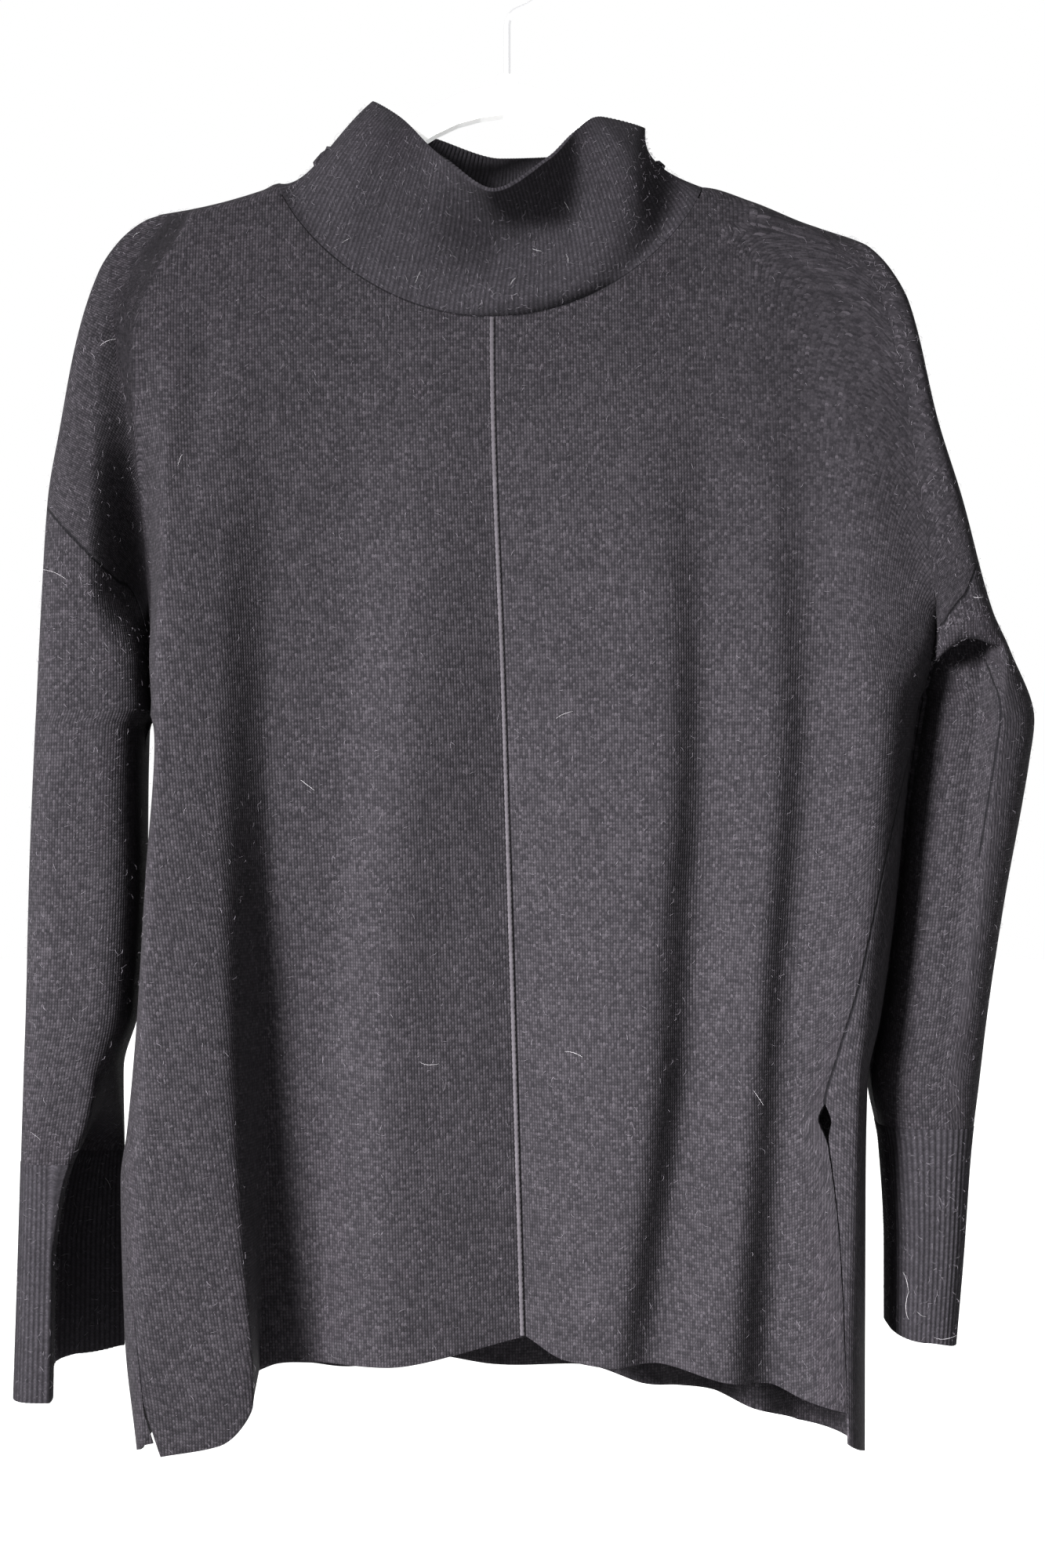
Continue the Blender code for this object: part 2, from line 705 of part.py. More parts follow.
def knitted(name, grids, normals, finish):
    """Closed wall: the skin, its inner side one wall in, and a rim round every open edge.

    Two pieces at one seam split their rims along the same diagonals, so that the gap stays even.
    """
    points, faces = faces_of(grids)
    uses, allowance = seam_allowance(points, faces, normals)
    bm = bmesh.new()
    outer, inner = {}, {}
    for corner, point in points.items():
        place = point + allowance.get(corner, Vector())
        outer[corner] = bm.verts.new(place * MM)
        inner[corner] = bm.verts.new((place - normals[corner] * WALL) * MM)
    for ring in faces:
        bm.faces.new([outer[k] for k in ring])
        bm.faces.new([inner[k] for k in reversed(ring)])
        for a, b in edges(ring):
            if uses[frozenset((a, b))] == 1:
                low, high = sorted((a, b))
                bm.faces.new([outer[b], outer[a], inner[high]])
                bm.faces.new([outer[low], inner[a], inner[b]])
    bmesh.ops.recalc_face_normals(bm, faces=bm.faces)
    mesh = bpy.data.meshes.new(name)
    bm.to_mesh(mesh)
    bm.free()
    mesh.shade_smooth()
    return add_object(name, mesh, finish)


# ---------------------------------------------------------------- hanger and hook

# Moulded hanger from end to end: top line, height and half thickness.
Rib = namedtuple("Rib", "x top height half")
RIBS = (
    Rib(-180, -154, 8, 4.2),
    Rib(-160, -150, 10, 4.5),
    Rib(-128, -142, 12, 4.5),
    Rib(-112, -138.5, 12, 4.2),
    Rib(-84, -127, 14, 5),
    Rib(-48, -100, 17, 5.5),
    Rib(-26, -87, 18, 6),
    Rib(0, -82, 18, 6),
    Rib(24, -86, 18, 6),
    Rib(42, -98, 17, 5.5),
    Rib(66, -126, 14, 5),
    Rib(94, -140, 12, 4.2),
    Rib(128, -148, 12, 4.5),
    Rib(156, -158.8, 10, 4.5),
    Rib(176, -166, 8, 4.2),
)
HANGER_STEP, HANGER_SIDES = 12.0, 10
BOSS_RADIUS, BOSS_TOP = 5.0, -77.5
WIRE, HOOK_RADIUS, HOOK_BEND = 3.5, 22.5, 9.0   # wire thickness, and radii to its middle
HOOK_END = pi * 1.12


def hanger_ring(bm, x):
    top, height, half = (level_x(column, x) for column in ("top", "height", "half"))
    ring = []
    for k in range(HANGER_SIDES):
        angle = 2 * pi * k / HANGER_SIDES
        y, z = half * sin(angle), top - height / 2 * (1 - cos(angle))
        ring.append(bm.verts.new(Vector((x, y, z)) * MM))
    return ring


def level_x(column, x):
    return smooth([rib.x for rib in RIBS], [getattr(rib, column) for rib in RIBS], x)


def hanger(finish):
    bm = bmesh.new()
    count = round((RIBS[-1].x - RIBS[0].x) / HANGER_STEP)
    rings = [hanger_ring(bm, mix(RIBS[0].x, RIBS[-1].x, k / count)) for k in range(count + 1)]
    for left, right in zip(rings, rings[1:]):
        for k in range(HANGER_SIDES):
            after = (k + 1) % HANGER_SIDES
            bm.faces.new([left[k], left[after], right[after], right[k]])
    bm.faces.new(rings[0])
    bm.faces.new(rings[-1])
    bmesh.ops.recalc_face_normals(bm, faces=bm.faces)
    mesh = bpy.data.meshes.new("hanger")
    bm.to_mesh(mesh)
    bm.free()
    placed = add_object("hanger", mesh, finish)
    bpy.ops.mesh.primitive_cylinder_add(
        vertices=16,
        radius=BOSS_RADIUS * MM,
        depth=12 * MM,
        location=(0, 0, (BOSS_TOP - 6) * MM),
    )
    boss = bpy.context.object
    boss.name = "hook_boss"
    boss.hide_render = True
    boss.display_type = "WIRE"
    union = placed.modifiers.new("boss", "BOOLEAN")
    union.operation = "UNION"
    union.object = boss
    return placed


def arc(middle, radius, start, end, steps):
    """Points on a circle in the hanger's plane, after its first."""
    turns = [mix(start, end, (k + 1) / steps) for k in range(steps)]
    return [middle + radius * Vector((cos(turn), 0, sin(turn))) for turn in turns]


def hook_path():
    """Middle of the wire: up from the boss, a bend to the right, then round and over."""
    middle = Vector((0, 0, WIRE / 2 - HOOK_RADIUS))
    meeting = -acos(HOOK_BEND / (HOOK_RADIUS + HOOK_BEND))
    bend = middle + (HOOK_RADIUS + HOOK_BEND) * Vector((cos(meeting), 0, sin(meeting)))
    path = [Vector((0, 0, BOSS_TOP + SEAM_GAP)), Vector((0, 0, bend.z))]
    path += arc(bend, HOOK_BEND, pi, pi + meeting, 4)
    return path + arc(middle, HOOK_RADIUS, meeting, HOOK_END, 24)


def hook(finish):
    curve = bpy.data.curves.new("hook", "CURVE")
    curve.dimensions = "3D"
    curve.bevel_depth = WIRE / 2 * MM
    curve.bevel_resolution = 3
    curve.use_fill_caps = True
    path = hook_path()
    spline = curve.splines.new("POLY")
    spline.points.add(len(path) - 1)
    for point, place in zip(spline.points, path):
        point.co = (*(place * MM), 1)
    return add_object("hook", curve, finish)


def clear_scene():
    for old in list(bpy.data.objects):
        bpy.data.objects.remove(old, do_unlink=True)


def build():
    clear_scene()
    jersey = material("charcoal_jersey", (0.055, 0.05, 0.056), 0.95)
    rib = material("charcoal_rib", (0.05, 0.046, 0.05), 0.95)
    normals = skin_normals(PIECES)
    for name, grids in PIECES.items():
        finish = rib if name.startswith(("cuff", "collar")) else jersey
        knitted(name, grids, normals, finish)
    hanger(material("white_moulding", (0.85, 0.85, 0.84), 0.35))
    hook(material("hook_wire", (0.8, 0.8, 0.8), 0.25, 1.0))


build()
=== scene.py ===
"""Looks of a mock neck sweater hanging on a plain hanger.

The garment is followed as it is put together: hanger, front halves, back, sleeves, cuffs, mock
neck collar and centre seam, then the fibres that have settled on it. Tables are in millimetres.
"""

from collections import namedtuple
from math import pi

import bmesh
import bpy
import numpy as np
from mathutils import Matrix, Vector


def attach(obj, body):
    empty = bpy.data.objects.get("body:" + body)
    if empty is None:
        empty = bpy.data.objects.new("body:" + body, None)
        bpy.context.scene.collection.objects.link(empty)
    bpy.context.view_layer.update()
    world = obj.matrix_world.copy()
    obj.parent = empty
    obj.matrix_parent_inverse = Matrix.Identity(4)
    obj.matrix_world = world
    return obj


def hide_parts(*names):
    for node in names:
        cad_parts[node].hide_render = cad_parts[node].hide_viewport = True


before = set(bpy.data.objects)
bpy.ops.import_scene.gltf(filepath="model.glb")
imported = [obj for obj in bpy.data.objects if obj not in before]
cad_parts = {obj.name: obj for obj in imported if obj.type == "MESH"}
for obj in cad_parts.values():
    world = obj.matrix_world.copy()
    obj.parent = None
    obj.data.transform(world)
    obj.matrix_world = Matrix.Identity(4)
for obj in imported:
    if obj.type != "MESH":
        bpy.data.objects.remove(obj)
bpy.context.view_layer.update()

# ---------------------------------------------------------------- hanger and hook
# The hanger is one white moulding with a slim arched neck; the hook is bent bright wire pressed
# into its boss. Both come from the frame as they are, and only get their surfaces here.

MM = 0.001


def maths(operation, flipped=False):
    """An operator that adds a Math node for its terms, the other way round if flipped."""

    def operator(*terms):
        terms = terms[::-1] if flipped else terms
        finish = next(term.finish for term in terms if isinstance(term, Value))
        return finish.node("ShaderNodeMath", {"operation": operation}, dict(enumerate(terms)))

    return operator


class Value:
    """A shader socket that can be written into sums."""

    def __init__(self, finish, socket):
        self.finish, self.socket = finish, socket

    __add__ = __radd__ = maths("ADD")
    __mul__ = __rmul__ = maths("MULTIPLY")
    __sub__, __rsub__ = maths("SUBTRACT"), maths("SUBTRACT", flipped=True)
    __truediv__, __mod__ = maths("DIVIDE"), maths("FLOORED_MODULO")
    __gt__, __abs__, floored = maths("GREATER_THAN"), maths("ABSOLUTE"), maths("FLOOR")


class Finish:
    """One surface of the garment or its hanger, made of nodes round a Principled shader."""

    def __init__(self, name, **sockets):
        self.material = bpy.data.materials.new(name)
        self.material.use_nodes = True
        self.tree = self.material.node_tree
        self.shader = self.tree.nodes["Principled BSDF"]
        self.show(**sockets)

    def feed(self, node, inputs):
        for name, value in inputs.items():
            if isinstance(value, Value):
                self.tree.links.new(value.socket, node.inputs[name])
            else:
                node.inputs[name].default_value = value

    def node(self, kind, settings=None, inputs=None, out=0):
        made = self.tree.nodes.new(kind)
        for name, value in (settings or {}).items():
            setattr(made, name, value)
        self.feed(made, inputs or {})
        return Value(self, made.outputs[out])

    def noise(self, place, scale, detail=2.0, roughness=0.5):
        return self.node(
            "ShaderNodeTexNoise",
            {"noise_dimensions": "3D"},
            {"Vector": place, "Scale": scale, "Detail": detail, "Roughness": roughness},
        )

    def blend(self, share, first, second):
        colours = {0: share, 6: first, 7: second}
        return self.node("ShaderNodeMix", {"data_type": "RGBA"}, colours, out=2)

    def ramp(self, value, start, end, low, high):
        """Low up to the start, high from the end, and even between."""
        ends = {"Value": value, 1: start, 2: end, 3: low, 4: high}
        return self.node("ShaderNodeMapRange", None, ends)

    def part(self, vector, axis):
        return self.node("ShaderNodeSeparateXYZ", None, {0: vector}, axis)

    def object_place(self):
        return self.node("ShaderNodeTexCoord", out=3)

    def bump(self, height, distance, strength=1.0):
        """Relief that is the distance, in millimetres, deep."""
        relief = {"Height": height, "Distance": distance * MM, "Strength": strength}
        return self.node("ShaderNodeBump", None, relief)

    def show(self, **sockets):
        self.feed(self.shader, {key.replace("_", " "): value for key, value in sockets.items()})
        return self.material


def moulded_white():
    """Glossy white plastic, faintly pitted by the mould and greyed; its emission is a painted glow
    that lifts its shaded parts to white.
    """
    # The emission is a painted glow: the hanger is no lamp.
    finish = Finish("white_moulding", IOR=1.46, Emission_Color=(1, 1, 1, 1), Emission_Strength=0.3)
    place = finish.object_place()
    peel = finish.noise(place, 900.0)
    greying = finish.noise(place, 35.0, 4.0)
    return finish.show(
        Base_Color=finish.blend(greying, (0.86, 0.86, 0.85, 1), (0.8, 0.8, 0.79, 1)),
        Roughness=0.28 + 0.14 * greying,
        Normal=finish.bump(peel, 0.03),
    )


def bright_wire():
    """Plated wire with the fine lines that drawing leaves along it."""
    finish = Finish("bright_wire", Metallic=1.0)
    place = finish.object_place()
    lines = finish.noise(place, 2400.0, 3.0)
    wear = finish.noise(place, 60.0, 3.0)
    return finish.show(
        Base_Color=finish.blend(wear, (0.83, 0.83, 0.84, 1), (0.7, 0.7, 0.71, 1)),
        Roughness=0.16 + 0.2 * wear,
        Normal=finish.bump(lines, 0.01),
    )


for node, finish in (("hanger", moulded_white()), ("hook", bright_wire())):
    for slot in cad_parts[node].material_slots:
        slot.material = finish

# ---------------------------------------------------------------- front halves
# Two flat-knitted charcoal wool panels that meet at a raised centre seam. Each runs over the
# shoulder and down to the dropped armhole, and ends in a step hem with a slit at the side.

WALL, ROLL = 1.9, 8.0       # thickness of the knit; its radius over the shoulder and underarm
WALE, COURSE = 1.55, 1.55   # width and height of one stitch

# Top line of the shoulders, and the neck opening cut into it.
SHOULDER_X = (-183, -160, -128, -120, 102, 128, 156, 181)
SHOULDER_Z = (-150.5, -146.5, -137.5, -134, -136, -143.5, -155, -163)
NECK_LEFT, NECK_RIGHT = -120.0, 102.0
NeckArc = namedtuple("NeckArc", "drop power")
NECK = {"front": NeckArc(72, 0.75), "back": NeckArc(22, 0.6)}


def table(kind, *values):
    """Rows of a table, each with its values in the named columns."""
    return [kind(*row) for row in values]


# Where the body turns: the valley between body and arm, and below the underarm the body's side.
Side = namedtuple("Side", "z x front back")
SIDES = {
    "left": table(
        Side,
        (-130, -168, -8, 8), (-150, -169, -9, 9), (-180, -184, -15, 14), (-215, -196, -20, 17),
        (-255, -194, -23, 18), (-300, -191, -13, 13), (-350, -188, -6, 9), (-404, -185, -4, 7),
        (-430, -182.5, -4, 7), (-492, -187, 0, 0), (-568, -192, 0, 0), (-629, -198, 0, 0),
        (-654, -201.5, 0, 0), (-736, -199, 0, 0), (-795, -191, 0, 0),
    ),
    "right": table(
        Side,
        (-130, 164, -8, 8), (-158, 166, -10, 9), (-180, 186, -16, 14), (-215, 199, -23, 17),
        (-300, 212, -34, 16), (-352, 219, -39, 14), (-372, 221, -28, 13), (-388, 220, -18, 12),
        (-408, 215, -12, 10), (-458, 208, 0, 0), (-510, 203, 0, 0), (-571, 194.5, 0, 0),
        (-602, 187.5, 0, 0), (-654, 186.6, 0, 0), (-798, 186.6, 0, 0),
    ),
}
CROTCH = 30.0   # height over which the valley runs in to the underarm
Underarm = namedtuple("Underarm", "x z")
UNDERARM = {"left": Underarm(-186, -414), "right": Underarm(218.4, -400)}
SPLIT_MIDDLE = -407.0

# Arm of the panels and the sleeve below it: inner and outer side, and how far it stands out.
Arm = namedtuple("Arm", "z inner outer front back")
ARMS = {
    "left": table(
        Arm,
        (-151, -166, -183, -8, 8), (-154, -168, -190, -9, 9), (-166, -178, -204, -13, 12),
        (-182, -187, -214, -17, 16), (-219, -196, -225, -25, 23), (-264, -193, -233, -33, 30),
        (-301, -191, -239, -38, 34), (-350, -188, -242, -41, 37), (-449, -190.5, -247, -39, 39),
        (-492, -191, -249, -35, 40), (-568, -195.5, -251, -34, 40), (-600, -204, -252, -33, 39),
        (-654, -205, -253.5, -32, 38), (-772, -205, -257.5, -30, 36),
    ),
    "right": table(
        Arm,
        (-163, 176, 181, -8, 8), (-168, 180, 189.5, -11, 10), (-182, 190, 201.5, -17, 15),
        (-199, 196, 210, -22, 20), (-260, 206, 224, -31, 28), (-301, 212, 236.5, -36, 32),
        (-359, 220, 252, -40, 36), (-379, 221, 261, -41, 38), (-416, 215.8, 274.5, -38, 39),
        (-437, 212.6, 272, -37, 40), (-458, 209.7, 268.5, -37, 40), (-510, 204.6, 259, -36, 40),
        (-571, 196.4, 250, -34, 40), (-602, 190.5, 246.5, -32, 39), (-640, 197, 242, -30, 38),
        (-695, 200, 238, -29, 37), (-748, 200, 233.5, -28, 36),
    ),
}
# Armhole seam across the arm, cuff seam and cuff edge.
Sleeve = namedtuple("Sleeve", "armhole fall cuff_top edge_inner edge_outer")
SLEEVES = {
    "left": Sleeve(-307, 38, -645, -749, -768),
    "right": Sleeve(-332, 35, -627, -733, -740),
}

# Ridges and troughs of each quarter of the body, from the centre out: place at five heights, and
# how far out each stands at the chest, underarm, waist and hem.
Fold = namedtuple("Fold", "name x_top x_yoke x_chest x_waist x_hem chest underarm waist hem hem_z")
X_LEVELS = (-135, -215, -408, -572, -745)
OUT_LEVELS = (-130, -207, -300, -414, -572, -745)
SHOULDER_OUT, NECK_OUT = 8.0, 20.0    # how far out every fold stands at the top two levels
FRONT_CENTRE = ("centre", -6, -6, 0, 5, 10, 26, 22, 16, 15, -736)
BACK_CENTRE = ("centre", -8, -8, -8, -6, -4, 22, 30, 32, 30, -759)
FOLDS = {
    ("front", "left"): table(
        Fold,
        FRONT_CENTRE,
        ("soft_ridge", -36, -40, -50, -60, -61, 29, 34, 29, 29, -750),
        ("wide_trough", -74, -80, -86, -95, -102, 24, 24, 14, 11, -750),
        ("trough_foot", NECK_LEFT, NECK_LEFT, -121, -122, -129, 27, 26, 15, 11, -753),
        ("pipe_inner", -138, -144, -148, -144, -129, 35, 45, 50, 49, -765),
        ("pipe_outer", -160, -172, -176, -182, -184, 40, 51, 57, 56, -785),
    ),
    ("front", "right"): table(
        Fold,
        FRONT_CENTRE,
        ("bright_slope", 26, 30, 38, 36, 30, 31, 33, 33, 29, -746),
        ("first_ridge", 66, 72, 81, 74, 55, 35, 43, 46, 41, -748),
        ("first_trough", NECK_RIGHT, NECK_RIGHT, 102, 96, 76, 31, 34, 32, 30, -747),
        ("narrow_ridge", 120, 128, 136, 126, 112, 34, 44, 50, 49, -754),
        ("second_trough", 136, 148, 156, 144, 136, 31, 37, 41, 34, -757),
        ("side_ridge", 156, 174, 188, 178, 172, 38, 50, 56, 55, -764),
    ),
    ("back", "left"): table(
        Fold,
        BACK_CENTRE,
        ("ridge", -34, -34, -40, -46, -44, 25, 36, 46, 48, -757),
        ("trough", -66, -66, -74, -84, -84, 23, 24, 18, 14, -757),
        ("neck_slope", NECK_LEFT, NECK_LEFT, -112, -110, -106, 25, 34, 36, 35, -759),
        ("low_ridge", -140, -145, -140, -134, -126, 25, 42, 47, 46, -762),
        ("side_dip", -150, -156, -153, -149, -146, 24, 35, 34, 30, -768),
        ("side_ridge", -160, -172, -171, -169, -166, 26, 41, 45, 43, -782),
    ),
    ("back", "right"): table(
        Fold,
        BACK_CENTRE,
        ("ridge", 30, 34, 42, 46, 42, 26, 40, 48, 46, -762),
        ("trough", 72, 74, 76, 76, 74, 24, 27, 22, 18, -767),
        ("neck_slope", NECK_RIGHT, NECK_RIGHT, 96, 92, 90, 24, 32, 33, 30, -770),
        ("low_ridge", 118, 123, 120, 116, 113, 25, 42, 47, 45, -776),
        ("side_dip", 136, 146, 142, 136, 134, 26, 34, 32, 28, -783),
        ("side_ridge", 154, 172, 170, 162, 156, 28, 43, 46, 43, -791),
    ),
}
SIDE_HEM = {
    ("front", "left"): -790, ("front", "right"): -768,
    ("back", "left"): -795, ("back", "right"): -798,
}

# Side seams and slits: how far past the last front ridge they run, as a share of the turn to the
# side (1); below 0 they lie on the front, short of that ridge.
SeamRow = namedtuple("SeamRow", "z turn open")
SIDE_SEAMS = {
    "left": table(
        SeamRow,
        (-414, 1, 0), (-440, 0.94, 0), (-615, 0.7, 0), (-622, 0.68, 0.03),
        (-640, 0.62, 0.02), (-735, 0.15, 0.02), (-794, -0.15, 0.02),
    ),
    "right": table(
        SeamRow,
        (-400, 1, 0), (-418, 1, 0), (-440, 0.6, 0), (-483, 0.3, 0), (-549, 0, 0),
        (-589, -0.27, 0), (-612, -0.4, 0), (-616, -0.4, 0.13), (-621, -0.39, 0.17),
        (-626, -0.37, 0.08), (-633, -0.33, 0.02), (-679, -0.15, 0.014), (-798, 0.1, 0.014),
    ),
}


def smooth(at, values, where, flat_first=False, flat_last=False):
    """Curve through rows that never swings past them, held level beyond both ends."""
    at, where = np.asarray(at, float), np.atleast_1d(np.asarray(where, float))
    values = np.asarray(values, float).reshape(len(at), -1)
    if at[0] > at[-1]:
        at, values = at[::-1], values[::-1]
    values = np.broadcast_to(values, (len(at), where.size))
    rise = np.diff(values, axis=0) / np.diff(at)[:, None]
    both = rise[:-1] * rise[1:]
    inner = np.where(both > 0, 2 * both / np.where(both > 0, rise[:-1] + rise[1:], 1), 0)
    slope = np.vstack([rise[:1] * (not flat_first), inner, rise[-1:] * (not flat_last)])
    row = np.clip(np.searchsorted(at, where, side="right") - 1, 0, len(at) - 2)
    column = np.arange(where.size)
    span = at[row + 1] - at[row]
    t = np.clip((where - at[row]) / span, 0, 1)
    return (
        values[row, column] * (1 + 2 * t) * (1 - t) ** 2
        + values[row + 1, column] * t * t * (3 - 2 * t)
        + span * t * (1 - t) * (slope[row, column] * (1 - t) - slope[row + 1, column] * t)
    )


def rounded(distance, radius=ROLL):
    """0 at an edge, 1 once past its round: a quarter circle between."""
    return np.sqrt(1 - (1 - np.clip(distance / radius, 0, 1)) ** 2)


def mix(a, b, t):
    return a + (b - a) * t


def ease(t):
    t = np.clip(t, 0, 1)
    return t * t * (3 - 2 * t)


def shoulder_z(x):
    return smooth(SHOULDER_X, SHOULDER_Z, x)


def neck_z(face, x):
    across = (2 * x - NECK_LEFT - NECK_RIGHT) / (NECK_RIGHT - NECK_LEFT)
    arc = NECK[face]
    return shoulder_z(x) - arc.drop * np.maximum(0, 1 - across**2) ** arc.power


def in_neck(x):
    return (NECK_LEFT < x) & (x < NECK_RIGHT)


def level(rows, column, z):
    return smooth([row.z for row in rows], [getattr(row, column) for row in rows], z)


def side_point(face, side, z):
    """(x, y) where the body turns: the valley above the underarm, the side below it."""
    under = UNDERARM[side]
    x = mix(under.x, level(SIDES[side], "x", z), rounded(abs(z - under.z)))
    out = level(SIDES[side], face, z) * rounded(z - under.z, CROTCH)
    return x, np.where(z >= under.z, out, 0.0)


def section(face, side, z):
    """x and y of each fold of a quarter at each height, from the centre to the side."""
    sign = -1 if face == "front" else 1
    xs, ys = [], []
    for fold in FOLDS[face, side]:
        outs = (SHOULDER_OUT, NECK_OUT, fold.chest, fold.underarm, fold.waist, fold.hem)
        places = (fold.x_top, fold.x_yoke, fold.x_chest, fold.x_waist, fold.x_hem)
        xs.append(smooth(X_LEVELS, places, z))
        ys.append(sign * smooth(OUT_LEVELS, outs, z))
    x, y = side_point(face, side, z)
    return np.array(xs + [x]), np.array(ys + [y])


VALLEY_FROM, VALLEY_RUN = 25, 45     # above the underarm the valley starts to open, and over what


def shallow(side, z):
    """1 high on the chest, where body and arm run into each other; 0 near the underarm."""
    return ease((z - UNDERARM[side].z - VALLEY_FROM) / VALLEY_RUN)


def body_point(face, side, u, z):
    """Points of the body's skin: u counts the folds out from the centre."""
    xs, ys = section(face, side, z)
    last = len(xs) - 2
    folds = range(last + 1)
    past, soft = np.clip(u - last, 0, 1), shallow(side, z)
    across = mix(np.sin(past * pi / 2), past, soft)
    out = mix(np.cos(past * pi / 2), 1 - ease(past), soft)
    x = np.where(u <= last, smooth(folds, xs[:-1], u), mix(xs[last], xs[-1], across))
    y = np.where(
        u <= last,
        smooth(folds, ys[:-1], u, flat_first=face == "back", flat_last=True),
        mix(ys[-1], ys[last], out),
    )
    return np.stack([x, y * rounded(shoulder_z(x) - z), z], axis=-1)


CROWN = {"front": 0.62, "back": 0.42}


def flattened(face, share):
    """Way out along a round with a flattened crown: the arms hang flat rather than round."""
    return np.sin(share * pi / 2) ** CROWN[face]


CREST_RISE = 0.4    # share of the armhole's fall already made up at the arm's crest
CREST_FROM, OUTER_FROM, ARMHOLE_ROUND = 0.45, 0.9, 0.4    # where it rises, levels out and starts


def armhole_z(side, t):
    """Height of the armhole seam across the arm, from the underarm (0) to the outer side (2)."""
    cut = SLEEVES[side]
    to_crest = 1 - CREST_RISE * np.clip((t - CREST_FROM) / (1 - CREST_FROM), 0, 1)
    past_crest = np.clip(flattened("front", np.maximum(t - 1, 0)) / OUTER_FROM, 0, 1)
    share = np.where(t <= 1, to_crest, (1 - CREST_RISE) * (1 - past_crest))
    return mix(UNDERARM[side].z, cut.armhole - cut.fall * share, rounded(t, ARMHOLE_ROUND))


# The overhang under the right armhole: its height, how far it tucks in, how low it hangs, over how
# many of its heights the sleeve comes out again, the arch it starts along, and its outer end.
HOOD_FALL, HOOD_TUCK, HOOD_DROP, HOOD_RUN = 15.0, 24.0, 6.5, 17.0
HOOD_TOP, HOOD_MIDDLE, HOOD_BEND = -364.0, 239.0, 0.035
HOOD_END_X, HOOD_END_Z, HOOD_END_LEAN, HOOD_END_SOFT = 258, -379, 0.1, 12
HOOD_INNER = 0.15    # place across the arm by which it is whole


def hooded(t, x, z):
    """Step back and extra drop of the overhanging fold under the right armhole."""
    outer_end = HOOD_END_X + HOOD_END_LEAN * (z - HOOD_END_Z)
    reach = ease((outer_end - x) / HOOD_END_SOFT) * ease(t / HOOD_INNER)
    down = (HOOD_TOP - HOOD_BEND * (x - HOOD_MIDDLE) ** 2 - z) / HOOD_FALL
    inside = np.clip(down, 0, 1)
    below = np.maximum(0, 1 - np.maximum(0, down - 1) / HOOD_RUN) ** 1.5
    return HOOD_TUCK * reach * ease(inside) * below, -HOOD_DROP * reach * np.sin(2 * pi * inside)


# The left forearm's fold: where it starts and over what it forms, its edge at four heights, how far
# the cloth runs back behind the edge, and the places across the arm at which the cloth turns.
FOLD_TOP, FOLD_RUN = -586, 60
FOLD_EDGE_Z, FOLD_EDGE = (-597, -628, -658, -690), (0.05, 0.4, 0.75, 0.9)
FOLD_UNDER, FOLD_BACK, FOLD_SHIFT = 0.2, 30, 0.14
TURN_IN, TURN_BACK, TURN_OUT, RISE_FROM, RISE_RUN = 0.4, 0.45, 0.72, 0.32, 0.5


def tucked(t, z):
    """Left forearm: the front half folds back on itself. Shares of the way across and out."""
    edge = smooth(FOLD_EDGE_Z, FOLD_EDGE, z)
    returned = ease((t - TURN_BACK) / (TURN_OUT - TURN_BACK))
    behind = (edge + FOLD_UNDER) * ease(t / TURN_IN) - FOLD_UNDER * returned
    onward = (1 - edge) * ease((t - TURN_OUT) / (1 - TURN_OUT))
    return behind + onward, ease((t - RISE_FROM) / RISE_RUN)


SHOULDER_LOW = -200    # below this the arm is clear of the shoulder's round


def arm_point(face, side, t, z):
    """Points of the arm or sleeve: t is 0 at the valley, 1 at the crest, 2 at the outer side."""
    rows, under = ARMS[side], UNDERARM[side]
    outer, crest_y = level(rows, "outer", z), level(rows, face, z)
    above = z >= under.z
    valley_x, valley_y = side_point(face, side, z)
    tube_x = mix(under.x, level(rows, "inner", z), rounded(under.z - z))
    fold = np.where(above, 0, ease((FOLD_TOP - z) / FOLD_RUN)) if side == "left" else 0 * z
    inner, inner_y = np.where(above, valley_x, tube_x), np.where(above, valley_y, FOLD_BACK * fold)
    crest = mix(inner, outer, 0.5 + FOLD_SHIFT * fold)
    short, soft = np.minimum(t, 1), shallow(side, z)
    across = mix(1 - flattened(face, 1 - short), short, soft)
    out = mix(flattened(face, short), ease(short), soft)
    if face == "front":
        folded_across, folded_out = tucked(short, z)
        across, out = mix(across, folded_across, fold), mix(out, folded_out, fold)
    past = np.maximum(t - 1, 0)
    x = np.where(t <= 1, mix(inner, crest, across), mix(crest, outer, flattened(face, past)))
    y = np.where(t <= 1, mix(inner_y, crest_y, out), crest_y * flattened(face, 1 - past))
    if side == "right" and face == "front":
        back, drop = hooded(t, x, z)
        y, z = y + back, z + drop
    over = np.where(z > SHOULDER_LOW, rounded(shoulder_z(x) - z), 1.0)
    return np.stack([x, y * over, z], axis=-1)


SEARCH_FROM, SEARCH_ROUNDS, SEARCH_STEP = -140.0, 30, 0.6


def top_of(face, side, point, u):
    """Height at which a column starts: on the collar seam or on the shoulder line."""
    z = np.full(len(u), SEARCH_FROM)
    for _ in range(SEARCH_ROUNDS):
        x = point(face, side, u, z)[:, 0]
        z = mix(z, np.where(in_neck(x), neck_z(face, x), shoulder_z(x)), SEARCH_STEP)
    return z


def hem_z(face, side, u):
    heights = [row.hem_z for row in FOLDS[face, side]] + [SIDE_HEM[face, side]]
    return smooth(range(len(heights)), heights, u)


def surface(point, which, across, heights):
    """Grid of points: a column for each place across, a row for each height in it."""
    across = np.broadcast_to(across, heights.shape)
    return point(*which, across.ravel(), heights.ravel()).reshape(*heights.shape, 3)


UPPER_ROWS, LOWER_ROWS, PER_FOLD, ARM_COLUMNS = 60, 120, 11, 80
TOP_GATHER, ARM_CROWDING = 1.6, 0.13    # how rows crowd at the shoulder, and columns on an arm
SEAM_SPREAD = 2     # folds over which the front's columns make room for the side seam


